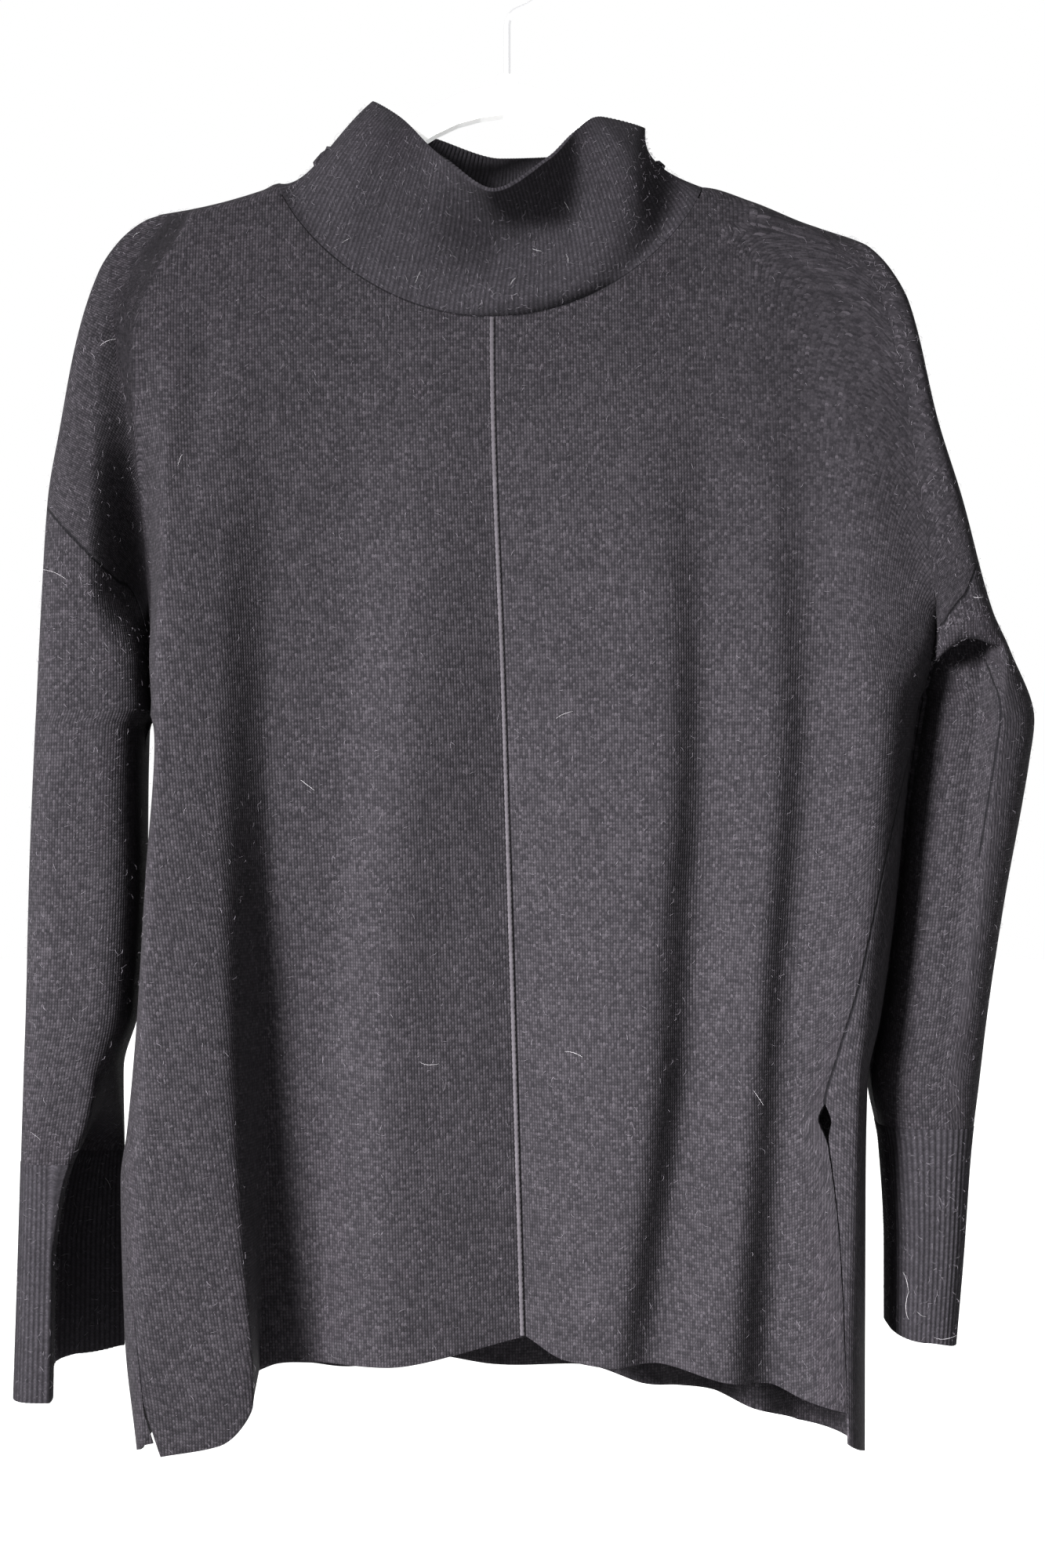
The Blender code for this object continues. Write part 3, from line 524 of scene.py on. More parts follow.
def fall(top, bottom, rows, gather=1.0):
    """Heights down each column; a gather above 1 crowds the rows at the top."""
    share = (np.arange(rows + 1) / rows) ** gather
    top, bottom = np.broadcast_arrays(top, bottom)
    return mix(top[:, None], bottom[:, None], share)


def arm_columns():
    """Places across an arm, crowded at its two sides and at its crest."""
    share = np.linspace(0, 1, ARM_COLUMNS + 1)
    return 2 * share - ARM_CROWDING * np.sin(4 * pi * share)


def upper(point, face, side, columns, bottom):
    """Body or arm above the underarm. Past the neck it starts on the shoulder seam."""
    top = top_of(face, side, point, columns)
    heights = fall(top, bottom, UPPER_ROWS, TOP_GATHER)
    points = surface(point, (face, side), columns[:, None], heights)
    points[:, 0, 1] = np.where(in_neck(points[:, 0, 0]), points[:, 0, 1], 0.0)
    return points


def seam_turn(side, heights, edge):
    """How far round the side seam is; an edge of -1 or 1 gives the front's or the back's edge."""
    z = heights.ravel()
    turn = level(SIDE_SEAMS[side], "turn", z) + edge * level(SIDE_SEAMS[side], "open", z) / 2
    return turn.reshape(heights.shape)


def lower_body(face, side, u, top):
    """Body below the underarm row. The front stops at the side seam, the back at the side."""
    heights = fall(top, hem_z(face, side, u), LOWER_ROWS)
    across = u[:, None]
    if face == "front":
        kept = u[-1] - SEAM_SPREAD
        stretch = (SEAM_SPREAD - 1 + seam_turn(side, heights, -1)) / SEAM_SPREAD
        across = np.minimum(across, kept) + np.maximum(0, across - kept) * stretch
    return surface(body_point, (face, side), across, heights)


def unit(vectors):
    return vectors / np.maximum(np.linalg.norm(vectors, axis=-1, keepdims=True), 1e-9)


def grid_normals(points, outwards):
    """Unit normals of a grid, turned to the side that the outward vectors point to."""
    normal = unit(np.cross(np.gradient(points, axis=0), np.gradient(points, axis=1)))
    return normal if (normal * outwards).sum() > 0 else -normal


def along(points, axis):
    """Distance run along a grid's rows (axis 0) or down its columns (axis 1)."""
    step = np.linalg.norm(np.diff(points, axis=axis), axis=-1)
    start = np.zeros_like(np.take(step, [0], axis=axis))
    return np.concatenate([start, np.cumsum(step, axis=axis)], axis=axis)


# Lie of the wales over the arm: they turn from upright at the body to follow the armhole.
Lie = namedtuple("Lie", "angle start width pivot_z")
LIES = {"left": Lie(0.95, -4, 14, -300), "right": Lie(0.5, -62, 95, -290)}


def turned(u, v, valley, side):
    """Cloth coordinates with the arm's wales turned about the top of the valley."""
    lie = LIES[side]
    past = u - valley - lie.start
    angle = lie.angle * ease(past / lie.width)
    down = v - lie.pivot_z
    return (
        valley + lie.start + past * np.cos(angle) - down * np.sin(angle),
        lie.pivot_z + past * np.sin(angle) + down * np.cos(angle),
    )


def level_run(points):
    """Distance run along a grid's rows, as seen from above."""
    return along(points * np.array([1.0, 1.0, 0.0]), 0)


def hung_run(points):
    """Height up each column of a grid, measured along the cloth from its lower end."""
    return points[:, -1:, 2] + along(points, 1)[:, -1:] - along(points, 1)


def body_cloth(upper, lower, arm, side):
    """Places in the flat cloth, in millimetres, of one quarter's three grids."""
    upper_u = level_run(upper)
    valley_z, valley_u = upper[-1, ::-1, 2], upper_u[-1, ::-1]
    upper_valley = np.interp(upper[..., 2], valley_z, valley_u)
    arm_valley = np.interp(arm[..., 2], valley_z, valley_u)
    return [
        np.stack(turned(upper_u, hung_run(upper), upper_valley, side), -1),
        np.stack([level_run(lower), lower[:, :1, 2] - along(lower, 1)], -1),
        np.stack(turned(arm_valley + level_run(arm), hung_run(arm), arm_valley, side), -1),
    ]


# Soft creases that the weight of the cloth pulls into the panels: from one point to another on
# the front or back, how wide, and how far they sink in (or stand out, where negative).
Crease = namedtuple("Crease", "face x_top z_top x_low z_low width depth")
CREASES = table(
    Crease,
    ("front", -150, -190, -171, -330, 9, 2.0),
    ("front", 150, -200, 172, -300, 14, 1.2),
    ("front", 30, -300, 34, -520, 26, -1.2),
    ("front", -30, -430, -38, -690, 16, 1.3),
    ("front", 88, -470, 76, -600, 11, 1.4),
    ("back", 10, -330, 16, -640, 18, 1.6),
    ("back", -66, -240, -60, -420, 16, -1.3),
    ("back", 70, -230, 62, -470, 15, 1.5),
)
CREASE_END = 0.3    # share of its length over which each end of a crease fades


def creased(face, points, normals):
    """Points sunk into the soft creases of one face."""
    x, z = points[..., 0], points[..., 2]
    depth = np.zeros_like(x)
    for crease in CREASES:
        if crease.face == face:
            run = np.array([crease.x_low - crease.x_top, crease.z_low - crease.z_top])
            share = ((x - crease.x_top) * run[0] + (z - crease.z_top) * run[1]) / (run @ run)
            off = x - crease.x_top - share * run[0]
            ends = ease(share / CREASE_END) * ease((1 - share) / CREASE_END)
            depth += crease.depth * ends * np.exp(-((off / crease.width) ** 2))
    return points - normals * depth[..., None]


Patch = namedtuple("Patch", "points cloth normals")

SEAM_REACH = 4.0    # how far from a seam its distance is kept
CENTRE_X, CENTRE_HALF, CENTRE_TOP = 2, 14, -206    # edges here get the centre seam's own cord


def mark_seams(bm, lowest, lines):
    """Distance from each point to the nearest linked edge, or to a seam within the piece."""
    # The distance drives the seam's groove and its painted shade in the jersey's colour.
    layer = bm.verts.layers.float.new("seam")
    places = np.array([vert.co[:] for vert in bm.verts]) / MM
    edge = np.array([vert.is_boundary for vert in bm.verts]) & (places[:, 2] > lowest)
    edge &= (np.abs(places[:, 0] - CENTRE_X) > CENTRE_HALF) | (places[:, 2] > CENTRE_TOP)
    marks = np.concatenate([places[edge]] + [line.reshape(-1, 3) for line in lines])
    for vert, place in zip(bm.verts, places):
        near = marks[np.abs(marks - place).max(axis=1) < SEAM_REACH]
        gap = np.linalg.norm(near - place, axis=1).min() if len(near) else SEAM_REACH
        vert[layer] = min(gap, SEAM_REACH)


def added(name, data):
    """A new object in the scene, made of the data."""
    made = bpy.data.objects.new(name, data)
    bpy.context.scene.collection.objects.link(made)
    return made


def placed(name, bm, finish):
    """A smooth piece of the garment, made of the mesh and given its finish."""
    mesh = bpy.data.meshes.new(name)
    bm.to_mesh(mesh)
    bm.free()
    mesh.shade_smooth()
    mesh.materials.append(finish)
    piece = added(name, mesh)
    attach(piece, "root")
    return piece


def grid(bm, points):
    """A new grid in the mesh at the rows of points; gives its vertices in their order."""
    rows, columns = points.shape[:2]
    made = bmesh.ops.create_grid(bm, x_segments=columns - 1, y_segments=rows - 1, size=1)
    for vert, place in zip(made["verts"], points.reshape(-1, 3) * MM):
        vert.co = place
    return made["verts"]


CLOTH_APART = 613    # wales between one piece's cloth and the next's, so that no two look alike
WELD = 0.04          # points nearer than this become one
EDGE_WIDTH, EDGE_ANGLE = 0.6, 1.3    # round of a cut edge, and the bend that counts as one


def sewn(name, patches, finish, lowest=0.0, lines=()):
    """One knitted piece: its patches joined into a skin, given the knit's thickness inwards.

    Edges above the lowest height are linked to other pieces, those below it are free.
    """
    bm = bmesh.new()
    knit = bm.loops.layers.uv.new("knit")
    shift = CLOTH_APART * WALE * len(bpy.data.meshes)
    for patch in patches:
        cloth = (patch.cloth.swapaxes(0, 1).reshape(-1, 2) + shift) * MM
        for vert, flat in zip(grid(bm, patch.points.swapaxes(0, 1)), cloth):
            for loop in vert.link_loops:
                loop[knit].uv = flat
    bmesh.ops.remove_doubles(bm, verts=bm.verts, dist=WELD * MM)
    bmesh.ops.dissolve_degenerate(bm, edges=bm.edges, dist=WELD * MM)
    bmesh.ops.recalc_face_normals(bm, faces=bm.faces)
    bm.normal_update()
    points, normals = patches[0].points.reshape(-1, 3), patches[0].normals.reshape(-1, 3)
    middle = Vector(points[len(points) // 2] * MM)
    nearest = min(bm.verts, key=lambda vert: (vert.co - middle).length)
    if nearest.normal.dot(Vector(normals[len(points) // 2])) < 0:
        bmesh.ops.reverse_faces(bm, faces=bm.faces)
    mark_seams(bm, lowest, lines)
    piece = placed(name, bm, finish)
    wall = piece.modifiers.new("wall", "SOLIDIFY")
    wall.thickness, wall.offset = WALL * MM, -1
    edge = piece.modifiers.new("edge", "BEVEL")
    edge.limit_method, edge.angle_limit = "ANGLE", EDGE_ANGLE
    edge.width, edge.segments = EDGE_WIDTH * MM, 2
    return piece


WOOL = {"Roughness": 0.95, "Specular_IOR_Level": 0.06}


def stitches(finish, width, shift, slant):
    """Distance from a wale's middle, the round of its courses, and a random value a stitch."""
    cloth = finish.node("ShaderNodeUVMap", {"uv_map": "knit"})
    across = finish.part(cloth, 0) / (width * MM) + shift
    leg = abs(2 * (across % 1.0) - 1)
    down = finish.part(cloth, 1) / (COURSE * MM) + slant * leg
    in_course = 2 * (down % 1.0) - 1
    cell = finish.node("ShaderNodeCombineXYZ", None, {0: across.floored(), 1: down.floored()})
    heather = finish.node("ShaderNodeTexWhiteNoise", {"noise_dimensions": "2D"}, {"Vector": cell})
    return leg, 1 - in_course * in_course, heather


def fibres(finish, place):
    """Fine fibres, the light that they and a coarser grain catch, and broad clouds of shade."""
    fibre = finish.noise(place, 2600.0, 3.0, 0.65)
    grain = finish.noise(place, 800.0, 1.0)
    return fibre, 1.4 * fibre + 1.2 * grain - 0.3, finish.noise(place, 38.0, 3.0)


def charcoal_jersey():
    """Plain-knit charcoal wool: rows of small stitches, heathered, with pale flecks in them;
    painted shade darkens the gaps between stitches and the linked seams.
    """
    finish = Finish("charcoal_jersey", **WOOL)
    leg, course, heather = stitches(finish, WALE, 0.0, 0.35)
    place = finish.object_place()
    fibre, caught, cloud = fibres(finish, place)
    # Over the right shoulder the knit is pulled smoother.
    pulled = finish.ramp(finish.part(place, 0), 0.08, 0.17, 0.0, 1.0)
    pulled = pulled * finish.ramp(finish.part(place, 2), -0.38, -0.26, 0.0, 0.85)
    # Relief of each stitch; in the colour it is also painted shade, darker in the gaps between
    # stitches.
    stitch = (1 - leg * leg) * (0.35 + 0.65 * course)
    stitch = stitch + (0.38 - stitch) * pulled
    knit = (0.24 + 0.62 * stitch) * (0.4 + 0.78 * heather + 1.3 * (heather > 0.985))
    # A linked seam is a fine groove, gone a millimetre beside it; its shade is painted into the
    # colour as a dark line along it.
    gap = finish.node("ShaderNodeAttribute", {"attribute_name": "seam"}, out=2)
    seam = finish.ramp(gap, 0.35, 1.0, 1.0, 0.0)
    # Painted shade along the seams and in the stitch gaps both darken this colour.
    light = knit * caught * (0.82 + 0.36 * cloud) * (1 - 0.85 * seam)
    return finish.show(
        Base_Color=finish.blend(light, (0.0009, 0.0008, 0.0012, 1), (0.0151, 0.0135, 0.0157, 1)),
        Normal=finish.bump(stitch + 0.35 * fibre - 2.5 * seam, 0.35, 0.8),
    )


JERSEY = charcoal_jersey()
FORWARD = np.array([0.0, -1.0, 0.0])


def quarter(face, side):
    """Patches of one quarter: body above and below the underarm, and the arm."""
    outwards = FORWARD if face == "front" else -FORWARD
    folds = len(FOLDS[face, side])
    u, t = np.linspace(0, folds, folds * PER_FOLD + 1), arm_columns()
    split = mix(SPLIT_MIDDLE, UNDERARM[side].z, u / folds)
    grids = [
        upper(body_point, face, side, u, split),
        lower_body(face, side, u, split),
        upper(arm_point, face, side, t, armhole_z(side, t)),
    ]
    patches = []
    for points, cloth in zip(grids, body_cloth(*grids, side)):
        normals = grid_normals(points, outwards)
        patches.append(Patch(creased(face, points, normals), cloth, normals))
    return patches


FREE_BELOW = -612    # under this the fronts and back hang free of each other
skins = []
for side in ("left", "right"):
    panels = quarter("front", side)
    skins += panels
    half = sewn(f"front_{side}_knit", panels, JERSEY, lowest=FREE_BELOW)
    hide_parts(f"front_{side}")

# ---------------------------------------------------------------- back
# One panel, 5 cm longer than the front, knitted like it. It wraps round each side to the side
# seam, which sits forward of the side and opens into the slit.

FLAP_HEM = {"left": -783, "right": -784}
FLAP_COLUMNS = 18


def flap_patch(side):
    """The strip of the back panel that wraps round the side to the front's side seam."""
    share = np.linspace(0, 1, FLAP_COLUMNS + 1)
    hem = mix(SIDE_HEM["back", side], FLAP_HEM[side], share)
    heights = fall(UNDERARM[side].z, hem, LOWER_ROWS)
    across = len(FOLDS["front", side]) - 1 + mix(1.0, seam_turn(side, heights, 1), share[:, None])
    points = surface(body_point, ("front", side), across, heights)
    outwards = FORWARD + np.array([-1.0 if side == "left" else 1.0, 0, 0])
    cloth = np.stack([along(points, 0), points[:, :1, 2] - along(points, 1)], -1)
    return Patch(points, cloth, grid_normals(points, outwards))


back = sewn(
    "back_knit",
    quarter("back", "left") + quarter("back", "right") + [flap_patch("left"), flap_patch("right")],
    JERSEY,
    lowest=FREE_BELOW,
)
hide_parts("back")

# ---------------------------------------------------------------- sleeves
# Two plain-knit tubes let into the dropped armholes. The right one tucks in under a soft fold
# below its armhole, and the left one folds back on itself above the wrist.

HOOD_ROWS, SLEEVE_ROWS = 56, 80
HOOD_LOW, HOOD_LEAST = -392, 4    # rows are crowded down to here, or this far below the seam


def folded(place):
    """Place across the arm of a place round it."""
    return np.where(place <= 2, place, 4 - place)


def ring_point(side, place, z):
    """Points of a tube: place runs 0 to 2 across the front from the inside, 2 to 4 at the back."""
    front, rear = (arm_point(face, side, folded(place), z) for face in ("front", "back"))
    return np.where((place <= 2)[:, None], front, rear)


def round_axis(points):
    return points - points[:-1].mean(axis=0, keepdims=True)


def sleeve_patch(side):
    half = arm_columns()
    columns = np.concatenate([half, 4 - half[-2::-1]])
    top = armhole_z(side, folded(columns))
    low = np.minimum(top - HOOD_LEAST, HOOD_LOW)
    sleeve = fall(low, SLEEVES[side].cuff_top, SLEEVE_ROWS)
    heights = np.hstack([fall(top, low, HOOD_ROWS), sleeve[:, 1:]])
    points = surface(ring_point, [side], columns[:, None], heights)
    u = level_run(points)
    u = u - u[len(columns) // 4]
    v = points[:, :1, 2] - along(points, 1)
    return Patch(points, np.stack([u, v], -1), grid_normals(points, round_axis(points)))


# A fine seam runs down the right sleeve from its fold: its place across and its rows.
LINE_COLUMN = np.abs(arm_columns() - 1.08).argmin()
LINE_ROWS = slice(HOOD_ROWS - 9, HOOD_ROWS + 33)
SLEEVE_END = -600    # under this a sleeve's edge, at its cuff, isn't marked as a seam
for side in ("left", "right"):
    panel = sleeve_patch(side)
    skins.append(panel)
    lines = [panel.points[LINE_COLUMN, LINE_ROWS]] if side == "right" else []
    sleeve = sewn(f"sleeve_{side}_knit", [panel], JERSEY, lowest=SLEEVE_END, lines=lines)
    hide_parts(f"sleeve_{side}")

# ---------------------------------------------------------------- cuffs
# Long narrow cuffs in one-by-one rib, knitted on at the sleeve's end. Each outward wale is a
# round rib with a groove beside it.

RIB = 2.6           # from one rib to the next
RIB_DEPTH = 0.22    # from the wall's middle line to the top of a rib
PER_RIB = 4         # columns of the mesh in one rib
CUFF_ROWS = 32
CUFF_SLOPE = {"left": 0.8, "right": 1.7}    # place across by which its edge has come down
CUFF_MIDDLE = 60    # below the cuff's top, where its ribs are evenly spaced
RING_STEPS = 800


def rib_patch(points, down):
    """A ring of cloth pushed out along its ribs and in between them, less where they crowd."""
    normals = grid_normals(points, round_axis(points))
    phase = np.arange(len(points)) / PER_RIB
    width = PER_RIB * np.linalg.norm(np.gradient(points, axis=0), axis=-1, keepdims=True)
    depth = RIB_DEPTH * np.clip(width / RIB, 0, 1) ** 2
    shaped = points + normals * depth * np.cos(2 * pi * phase)[:, None, None]
    shaped[-1] = shaped[0]
    u = np.repeat(phase[:, None] * RIB, points.shape[1], axis=1)
    return Patch(shaped, np.stack([u, down], -1), normals)


def charcoal_rib():
    """The same wool in rib: a column of slanted stitches on each rib, and painted shade darkening
    the grooves between them.
    """
    finish = Finish("charcoal_rib", **WOOL)
    leg, course, heather = stitches(finish, RIB, 0.5, 0.8)
    fibre, caught, cloud = fibres(finish, finish.object_place())
    # Relief of the stitches on each rib; in the colour it is also painted shade, darker towards the
    # grooves.
    stitch = (1 - leg) * (0.5 + 0.5 * course)
    light = (0.3 + 0.64 * stitch) * (0.7 + 0.4 * heather) * caught * (0.8 + 0.4 * cloud)
    return finish.show(
        Base_Color=finish.blend(light, (0.0007, 0.0006, 0.0009, 1), (0.0132, 0.012, 0.0142, 1)),
        Normal=finish.bump(stitch + 0.3 * fibre, 0.3, 0.7),
    )


RIB_KNIT = charcoal_rib()


def even_stops(line):
    """Stops evenly apart along a line of points for its whole number of ribs, and its own run."""
    run = along(line[:, None], 0)[:, 0]
    return np.linspace(0, run[-1], round(run[-1] / RIB) * PER_RIB + 1), run


def cuff_patch(side):
    cut = SLEEVES[side]
    places = np.linspace(0, 4, RING_STEPS + 1)
    middle = np.full(len(places), float(cut.cuff_top - CUFF_MIDDLE))
    columns = np.interp(*even_stops(ring_point(side, places, middle)), places)
    t = folded(columns)
    outwards = np.where(columns <= 2, ease(t / CUFF_SLOPE[side]), 1 - np.cos(t * pi / 4))
    edge = mix(cut.edge_inner, cut.edge_outer, outwards)
    heights = fall(cut.cuff_top, edge, CUFF_ROWS)
    points = surface(ring_point, [side], columns[:, None], heights)
    return rib_patch(points, points[:, :1, 2] - along(points, 1))


for side in ("left", "right"):
    panel = cuff_patch(side)
    skins.append(panel)
    cuff = sewn(f"cuff_{side}_rib", [panel], RIB_KNIT)
    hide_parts(f"cuff_{side}")

# ---------------------------------------------------------------- collar
# A deep one-by-one rib strip linked round the neck. It stands up in folds round the hanger's
# arch and slumps open at the front, so that the inside of the back shows.

Stave = namedtuple(
    "Stave", "name face base_x low_x low_y low_z high_x high_y high_z top_x top_y top_z"
)
STAVES = table(
    Stave,
    ("side_left", "front", NECK_LEFT, -104, -3, -128, -88, -4, -110, -71, 4, -90),
    ("notch_left", "front", -92, -84, -20, -156, -71, -28, -130, -55, -17, -103),
    ("front_left", "front", -50, -45, -22, -177, -39, -27, -151, -35, -31, -125),
    ("dip", "front", -8, -6, -20, -188, -3, -13, -166, -7, -46, -147),
    ("front_right", "front", 34, 33, -20, -181, 30, -11, -157, 22, -39, -129),
    ("lobe_right", "front", 78, 72, -17, -158, 63, -32, -135, 49, -24, -104),
    ("side_right", "front", NECK_RIGHT, 84, -11, -130, 74, -18, -122, 72, -13, -108),
    ("back_right", "back", 80, 74, 15, -133, 64, 21, -118, 56, 24, -103),
    ("back_mid_right", "back", 40, 37, 25, -143, 32, 35, -127, 26, 45, -112),
    ("back", "back", -10, -8, 27, -145, -5, 38, -129, -4, 50, -112),
    ("back_mid_left", "back", -56, -53, 25, -141, -46, 33, -122, -38, 40, -103),
    ("back_left", "back", -98, -90, 11, -127, -76, 16, -112, -60, 19, -97),
)
COLLAR_ROWS, NECK_STEPS = 32, 1400


def round_neck(face, x):
    """Place round the collar seam, 0 to 1 from the left shoulder, past the front and back."""
    share = (x - NECK_LEFT) / (NECK_RIGHT - NECK_LEFT) / 2
    return share if face == "front" else 1 - share


def stave_value(column, place):
    at = np.array([round_neck(stave.face, stave.base_x) for stave in STAVES])
    values = np.array([getattr(stave, column) for stave in STAVES], float)
    return smooth(np.concatenate([at - 1, at, at + 1]), np.tile(values, 3), place)


def neck_line():
    """Dense points of the seam that the collar is linked to, round from the left shoulder."""
    lines = []
    for face, sides in (("front", ("left", "right")), ("back", ("right", "left"))):
        for side in sides:
            u = np.linspace(0, len(FOLDS[face, side]), NECK_STEPS + 1)
            top = body_point(face, side, u, top_of(face, side, body_point, u))
            top = top[in_neck(top[:, 0])]
            order = np.argsort(top[:, 0] if face == "front" else -top[:, 0])
            place = round_neck(face, top[order, 0])
            lines.append(np.column_stack([place, top[order]]))
    line = np.vstack(lines)
    corner = np.array([0, NECK_LEFT, 0, shoulder_z(NECK_LEFT)[0]])
    other = np.array([0.5, NECK_RIGHT, 0, shoulder_z(NECK_RIGHT)[0]])
    line = np.vstack([corner, other, line, corner + [1, 0, 0, 0]])
    return line[np.argsort(line[:, 0])]


def collar_patch():
    """Ribs up from the neck: each runs evenly from the seam through its stave's three points."""
    line = neck_line()
    stops, run = even_stops(line[:, 1:])
    place = np.interp(stops, run, line[:, 0])
    rings = [np.column_stack([np.interp(stops, run, line[:, k]) for k in (1, 2, 3)])]
    for height in ("low", "high", "top"):
        rings.append(np.column_stack([stave_value(f"{height}_{axis}", place) for axis in "xyz"]))
    t = np.linspace(0, 1, COLLAR_ROWS + 1)[None, :, None]
    points = 0
    for k, ring in enumerate(rings):
        weight = 1.0
        for other in range(len(rings)):
            if other != k:
                weight = weight * (3 * t - other) / (k - other)
        points = points + weight * ring[:, None]
    return rib_patch(points, along(points, 1))


panel = collar_patch()
skins.append(panel)
collar = sewn("collar_rib", [panel], RIB_KNIT)
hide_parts("collar")

# ---------------------------------------------------------------- centre seam
# The two front halves are linked edge to edge. The chain lies along the left half's edge as a
# narrow raised cord that catches the light, from the neck to the hem.

CORD_WIDTH, CORD_HEIGHT = 2.7, 1.0
CORD_SIDES, CORD_ROWS, CORD_WELD = 10, 1250, 0.02
CORD_IN = 1.75    # from the left half's edge to the cord's middle
CHAIN = 2.9       # from one linked stitch to the next


def seam_yarn():
    finish = Finish("seam_yarn", **WOOL)
    place = finish.object_place()
    fibre = finish.noise(place, 2600.0, 3.0, 0.65)
    light = fibre * (0.5 + finish.noise(place, 200.0, 3.0))
    colour = finish.blend(light, (0.004, 0.0036, 0.0042, 1), (0.044, 0.04, 0.045, 1))
    return finish.show(Base_Color=colour, Normal=finish.bump(fibre, 0.2, 0.8))


def chain_cord(name, centre, outwards, across, finish):
    """A closed cord along a line of points, lumpy like a chain of linked stitches."""
    ring = np.linspace(0, 2 * pi, CORD_SIDES + 1)
    run = along(centre[:, None], 0)[:, 0]
    side, rise = np.cos(ring), np.sin(ring)
    beat = 0.78 + 0.22 * np.abs(np.sin(pi * (run[:, None] / CHAIN + 0.35 * np.abs(side))))
    offset = across[:, None] * (CORD_WIDTH / 2 * side * beat)[..., None]
    lift = outwards[:, None] * (CORD_HEIGHT * rise * beat)[..., None]
    bm = bmesh.new()
    grid(bm, centre[:, None] + offset + lift)
    bmesh.ops.remove_doubles(bm, verts=bm.verts, dist=CORD_WELD * MM)
    bmesh.ops.holes_fill(bm, edges=bm.edges)
    bmesh.ops.recalc_face_normals(bm, faces=bm.faces)
    return placed(name, bm, finish)


def centre_line(offset, rows):
    """Points down the left half a little way from its centre edge, and which way is out."""
    top = top_of("front", "left", body_point, np.zeros(1))[0]
    z = np.linspace(top - 0.6, FOLDS["front", "left"][0].hem_z + 0.4, rows)
    xs, _ = section("front", "left", z)
    share = offset / (xs[0] - xs[1])
    centre = body_point("front", "left", share, z)
    across = centre - body_point("front", "left", share + 0.02, z)
    across = unit(across)
    outwards = unit(np.cross(across, np.gradient(centre, axis=0)))
    return centre, outwards * np.where(outwards[:, 1:2] > 0, -1, 1), across


chain_cord("centre_seam", *centre_line(CORD_IN, CORD_ROWS), seam_yarn())

# ---------------------------------------------------------------- lint and loose fibres
# Wool sheds: short fibres stand off the whole garment, and a few longer pale hairs have settled
# on it.

rng = np.random.default_rng(21)
FIBRES, HAIRS = 8000, 42
THIN, THICK = 0.035, 0.06               # radius of a fibre
ASKEW = np.array([0.31, 0.87, 0.38])    # a direction that few fibres follow


def strands(name, paths, radius, finish):
    """Thin three-sided strands along many paths, tapering to both ends, in one mesh."""
    count, steps = paths.shape[:2]
    forward = unit(np.gradient(paths, axis=1))
    side = unit(np.cross(forward, ASKEW))
    up = np.cross(side, forward)
    taper = (0.35 + 0.65 * np.sin(pi * np.linspace(0.1, 0.9, steps)))[None, :, None]
    thick = radius[:, None, None] * taper
    corners = [
        paths + thick * (np.cos(turn) * side + np.sin(turn) * up)
        for turn in (0, 2 * pi / 3, 4 * pi / 3, 0)
    ]
    bm = bmesh.new()
    verts = grid(bm, np.stack(corners, axis=2).reshape(count * steps, 4, 3))
    owner = {vert: number // (4 * steps) for number, vert in enumerate(verts)}
    joints = [face for face in bm.faces if len({owner[vert] for vert in face.verts}) > 1]
    bmesh.ops.delete(bm, geom=joints, context="FACES")
    return placed(name, bm, finish)


def pale_fibre(name, dark, light):
    finish = Finish(name, Roughness=0.9, Specular_IOR_Level=0.1)
    shade = finish.noise(finish.object_place(), 300.0, 2.0)
    return finish.show(Base_Color=finish.blend(shade, dark, light))


def picked(skins, count):
    """Random places on the skins, with their outward directions and a direction along them."""
    places, outs, lies = [], [], []
    sizes = np.array([skin.points.shape[0] * skin.points.shape[1] for skin in skins], float)
    for which in rng.choice(len(skins), count, p=sizes / sizes.sum()):
        skin = skins[which]
        column = rng.integers(1, skin.points.shape[0] - 1)
        row = rng.integers(1, skin.points.shape[1] - 1)
        places.append(skin.points[column, row])
        outs.append(skin.normals[column, row])
        turn = rng.uniform(0, 2 * pi)
        along_row = skin.points[column + 1, row] - skin.points[column - 1, row]
        down = skin.points[column, row + 1] - skin.points[column, row - 1]
        lies.append(np.cos(turn) * unit(along_row) + np.sin(turn) * unit(down))
    return np.array(places), np.array(outs), np.array(lies)


def settled(skins, count, short, long, lift, bend, steps):
    """Paths of loose fibres lying on the cloth: arched, bent to one side, and lifting off it."""
    places, outs, lies = picked(skins, count)
    length = rng.uniform(short, long, count)[:, None, None]
    share = np.linspace(0, 1, steps)[None, :, None]
    aside = np.cross(outs, lies)
    bends = rng.uniform(-bend, bend, count)[:, None, None]
    rise = rng.uniform(0.2, 1.0, count)[:, None, None] * lift
    return (
        places[:, None]
        + lies[:, None] * length * share
        + aside[:, None] * length * bends * share * share
        + outs[:, None] * (0.15 + rise * np.sin(pi * share * 0.8))
    )


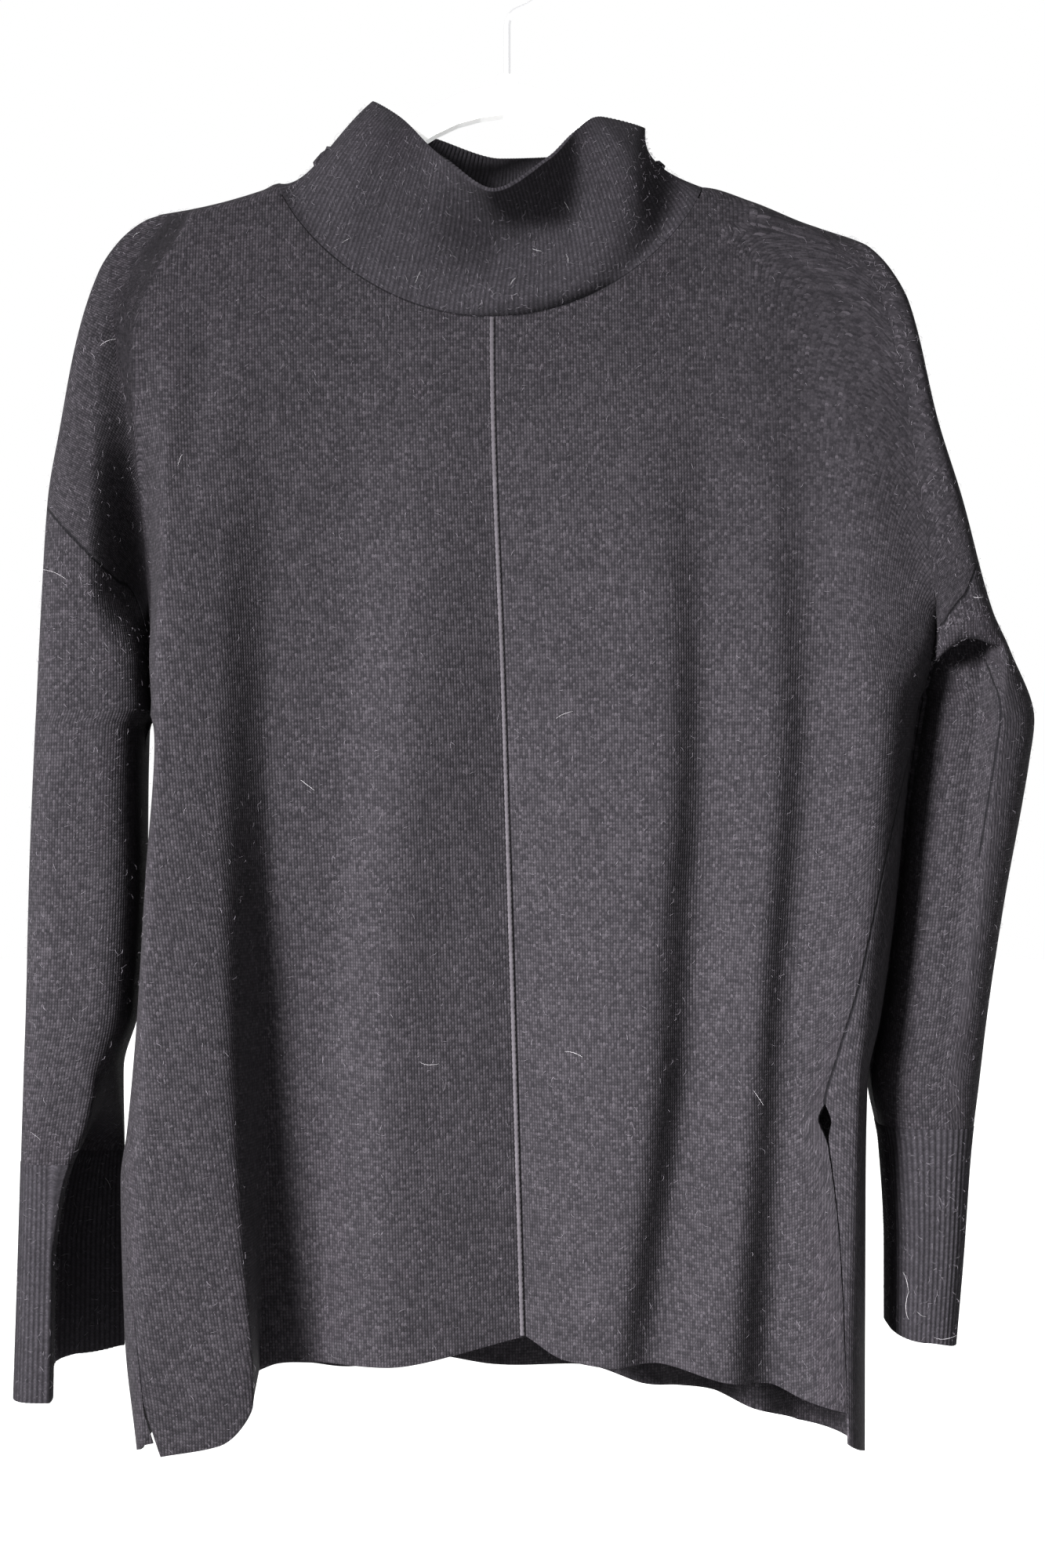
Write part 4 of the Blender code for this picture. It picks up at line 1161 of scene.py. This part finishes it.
fluff = settled(skins, FIBRES, short=0.8, long=3.4, lift=1.5, bend=0.6, steps=3)
wool_fibre = pale_fibre("wool_fibre", (0.03, 0.027, 0.031, 1), (0.13, 0.12, 0.135, 1))
strands("loose_fibres", fluff, rng.uniform(THIN, THICK, FIBRES), wool_fibre)
hairs = settled(skins, HAIRS, short=4.0, long=12.0, lift=1.2, bend=0.8, steps=7)
pale_lint = pale_fibre("pale_lint", (0.16, 0.155, 0.16, 1), (0.45, 0.43, 0.45, 1))
strands("lint_hairs", hairs, rng.uniform(THIN, THICK, HAIRS), pale_lint)

# ---------------------------------------------------------------- studio
# A plain white floor under a white sky, a large soft lamp in front and to the left, and the
# camera square on at the height of the sweater's middle.

FLOOR_RADIUS, FLOOR_Z = 9.0, -1.05


def studio_white():
    finish = Finish("studio_white", Roughness=0.9)
    white = (0.9, 0.9, 0.9, 1)
    return finish.show(Base_Color=white, Emission_Color=(1, 1, 1, 1), Emission_Strength=0.5)


bm = bmesh.new()
bmesh.ops.create_circle(bm, cap_ends=True, segments=64, radius=FLOOR_RADIUS)
floor_mesh = bpy.data.meshes.new("floor")
bm.to_mesh(floor_mesh)
bm.free()
floor_mesh.transform(Matrix.Translation((0, 0, FLOOR_Z)))
floor_mesh.materials.append(studio_white())
floor = added("floor", floor_mesh)

scene = bpy.context.scene
scene.view_settings.view_transform = "Standard"
scene.world = bpy.data.worlds.new("studio_sky")
scene.world.use_nodes = True
sky = scene.world.node_tree.nodes["Background"].inputs
sky["Color"].default_value, sky["Strength"].default_value = (1, 1, 1, 1), 1.0

LAMP_PLACE, LAMP_AIM = Vector((-1.5, -1.8, 0.25)), Vector((0.13, 0.0, -0.66))
light = bpy.data.lights.new("key", "AREA")
light.shape, light.size, light.spread, light.energy = "DISK", 0.8, 0.6, 41
key = added("key", light)
key.location = LAMP_PLACE
key.rotation_euler = (LAMP_AIM - LAMP_PLACE).to_track_quat("-Z", "Y").to_euler()

MIDDLE, CAMERA_BACK = Vector((0.008, 0.0, -0.449)), Vector((0, -1.6, 0))
camera_data = bpy.data.cameras.new("camera")
camera_data.lens, camera_data.sensor_width = 70.0, 36.0
scene.camera = added("camera", camera_data)
scene.camera.location = MIDDLE + CAMERA_BACK
scene.camera.rotation_euler = (pi / 2, 0, 0)
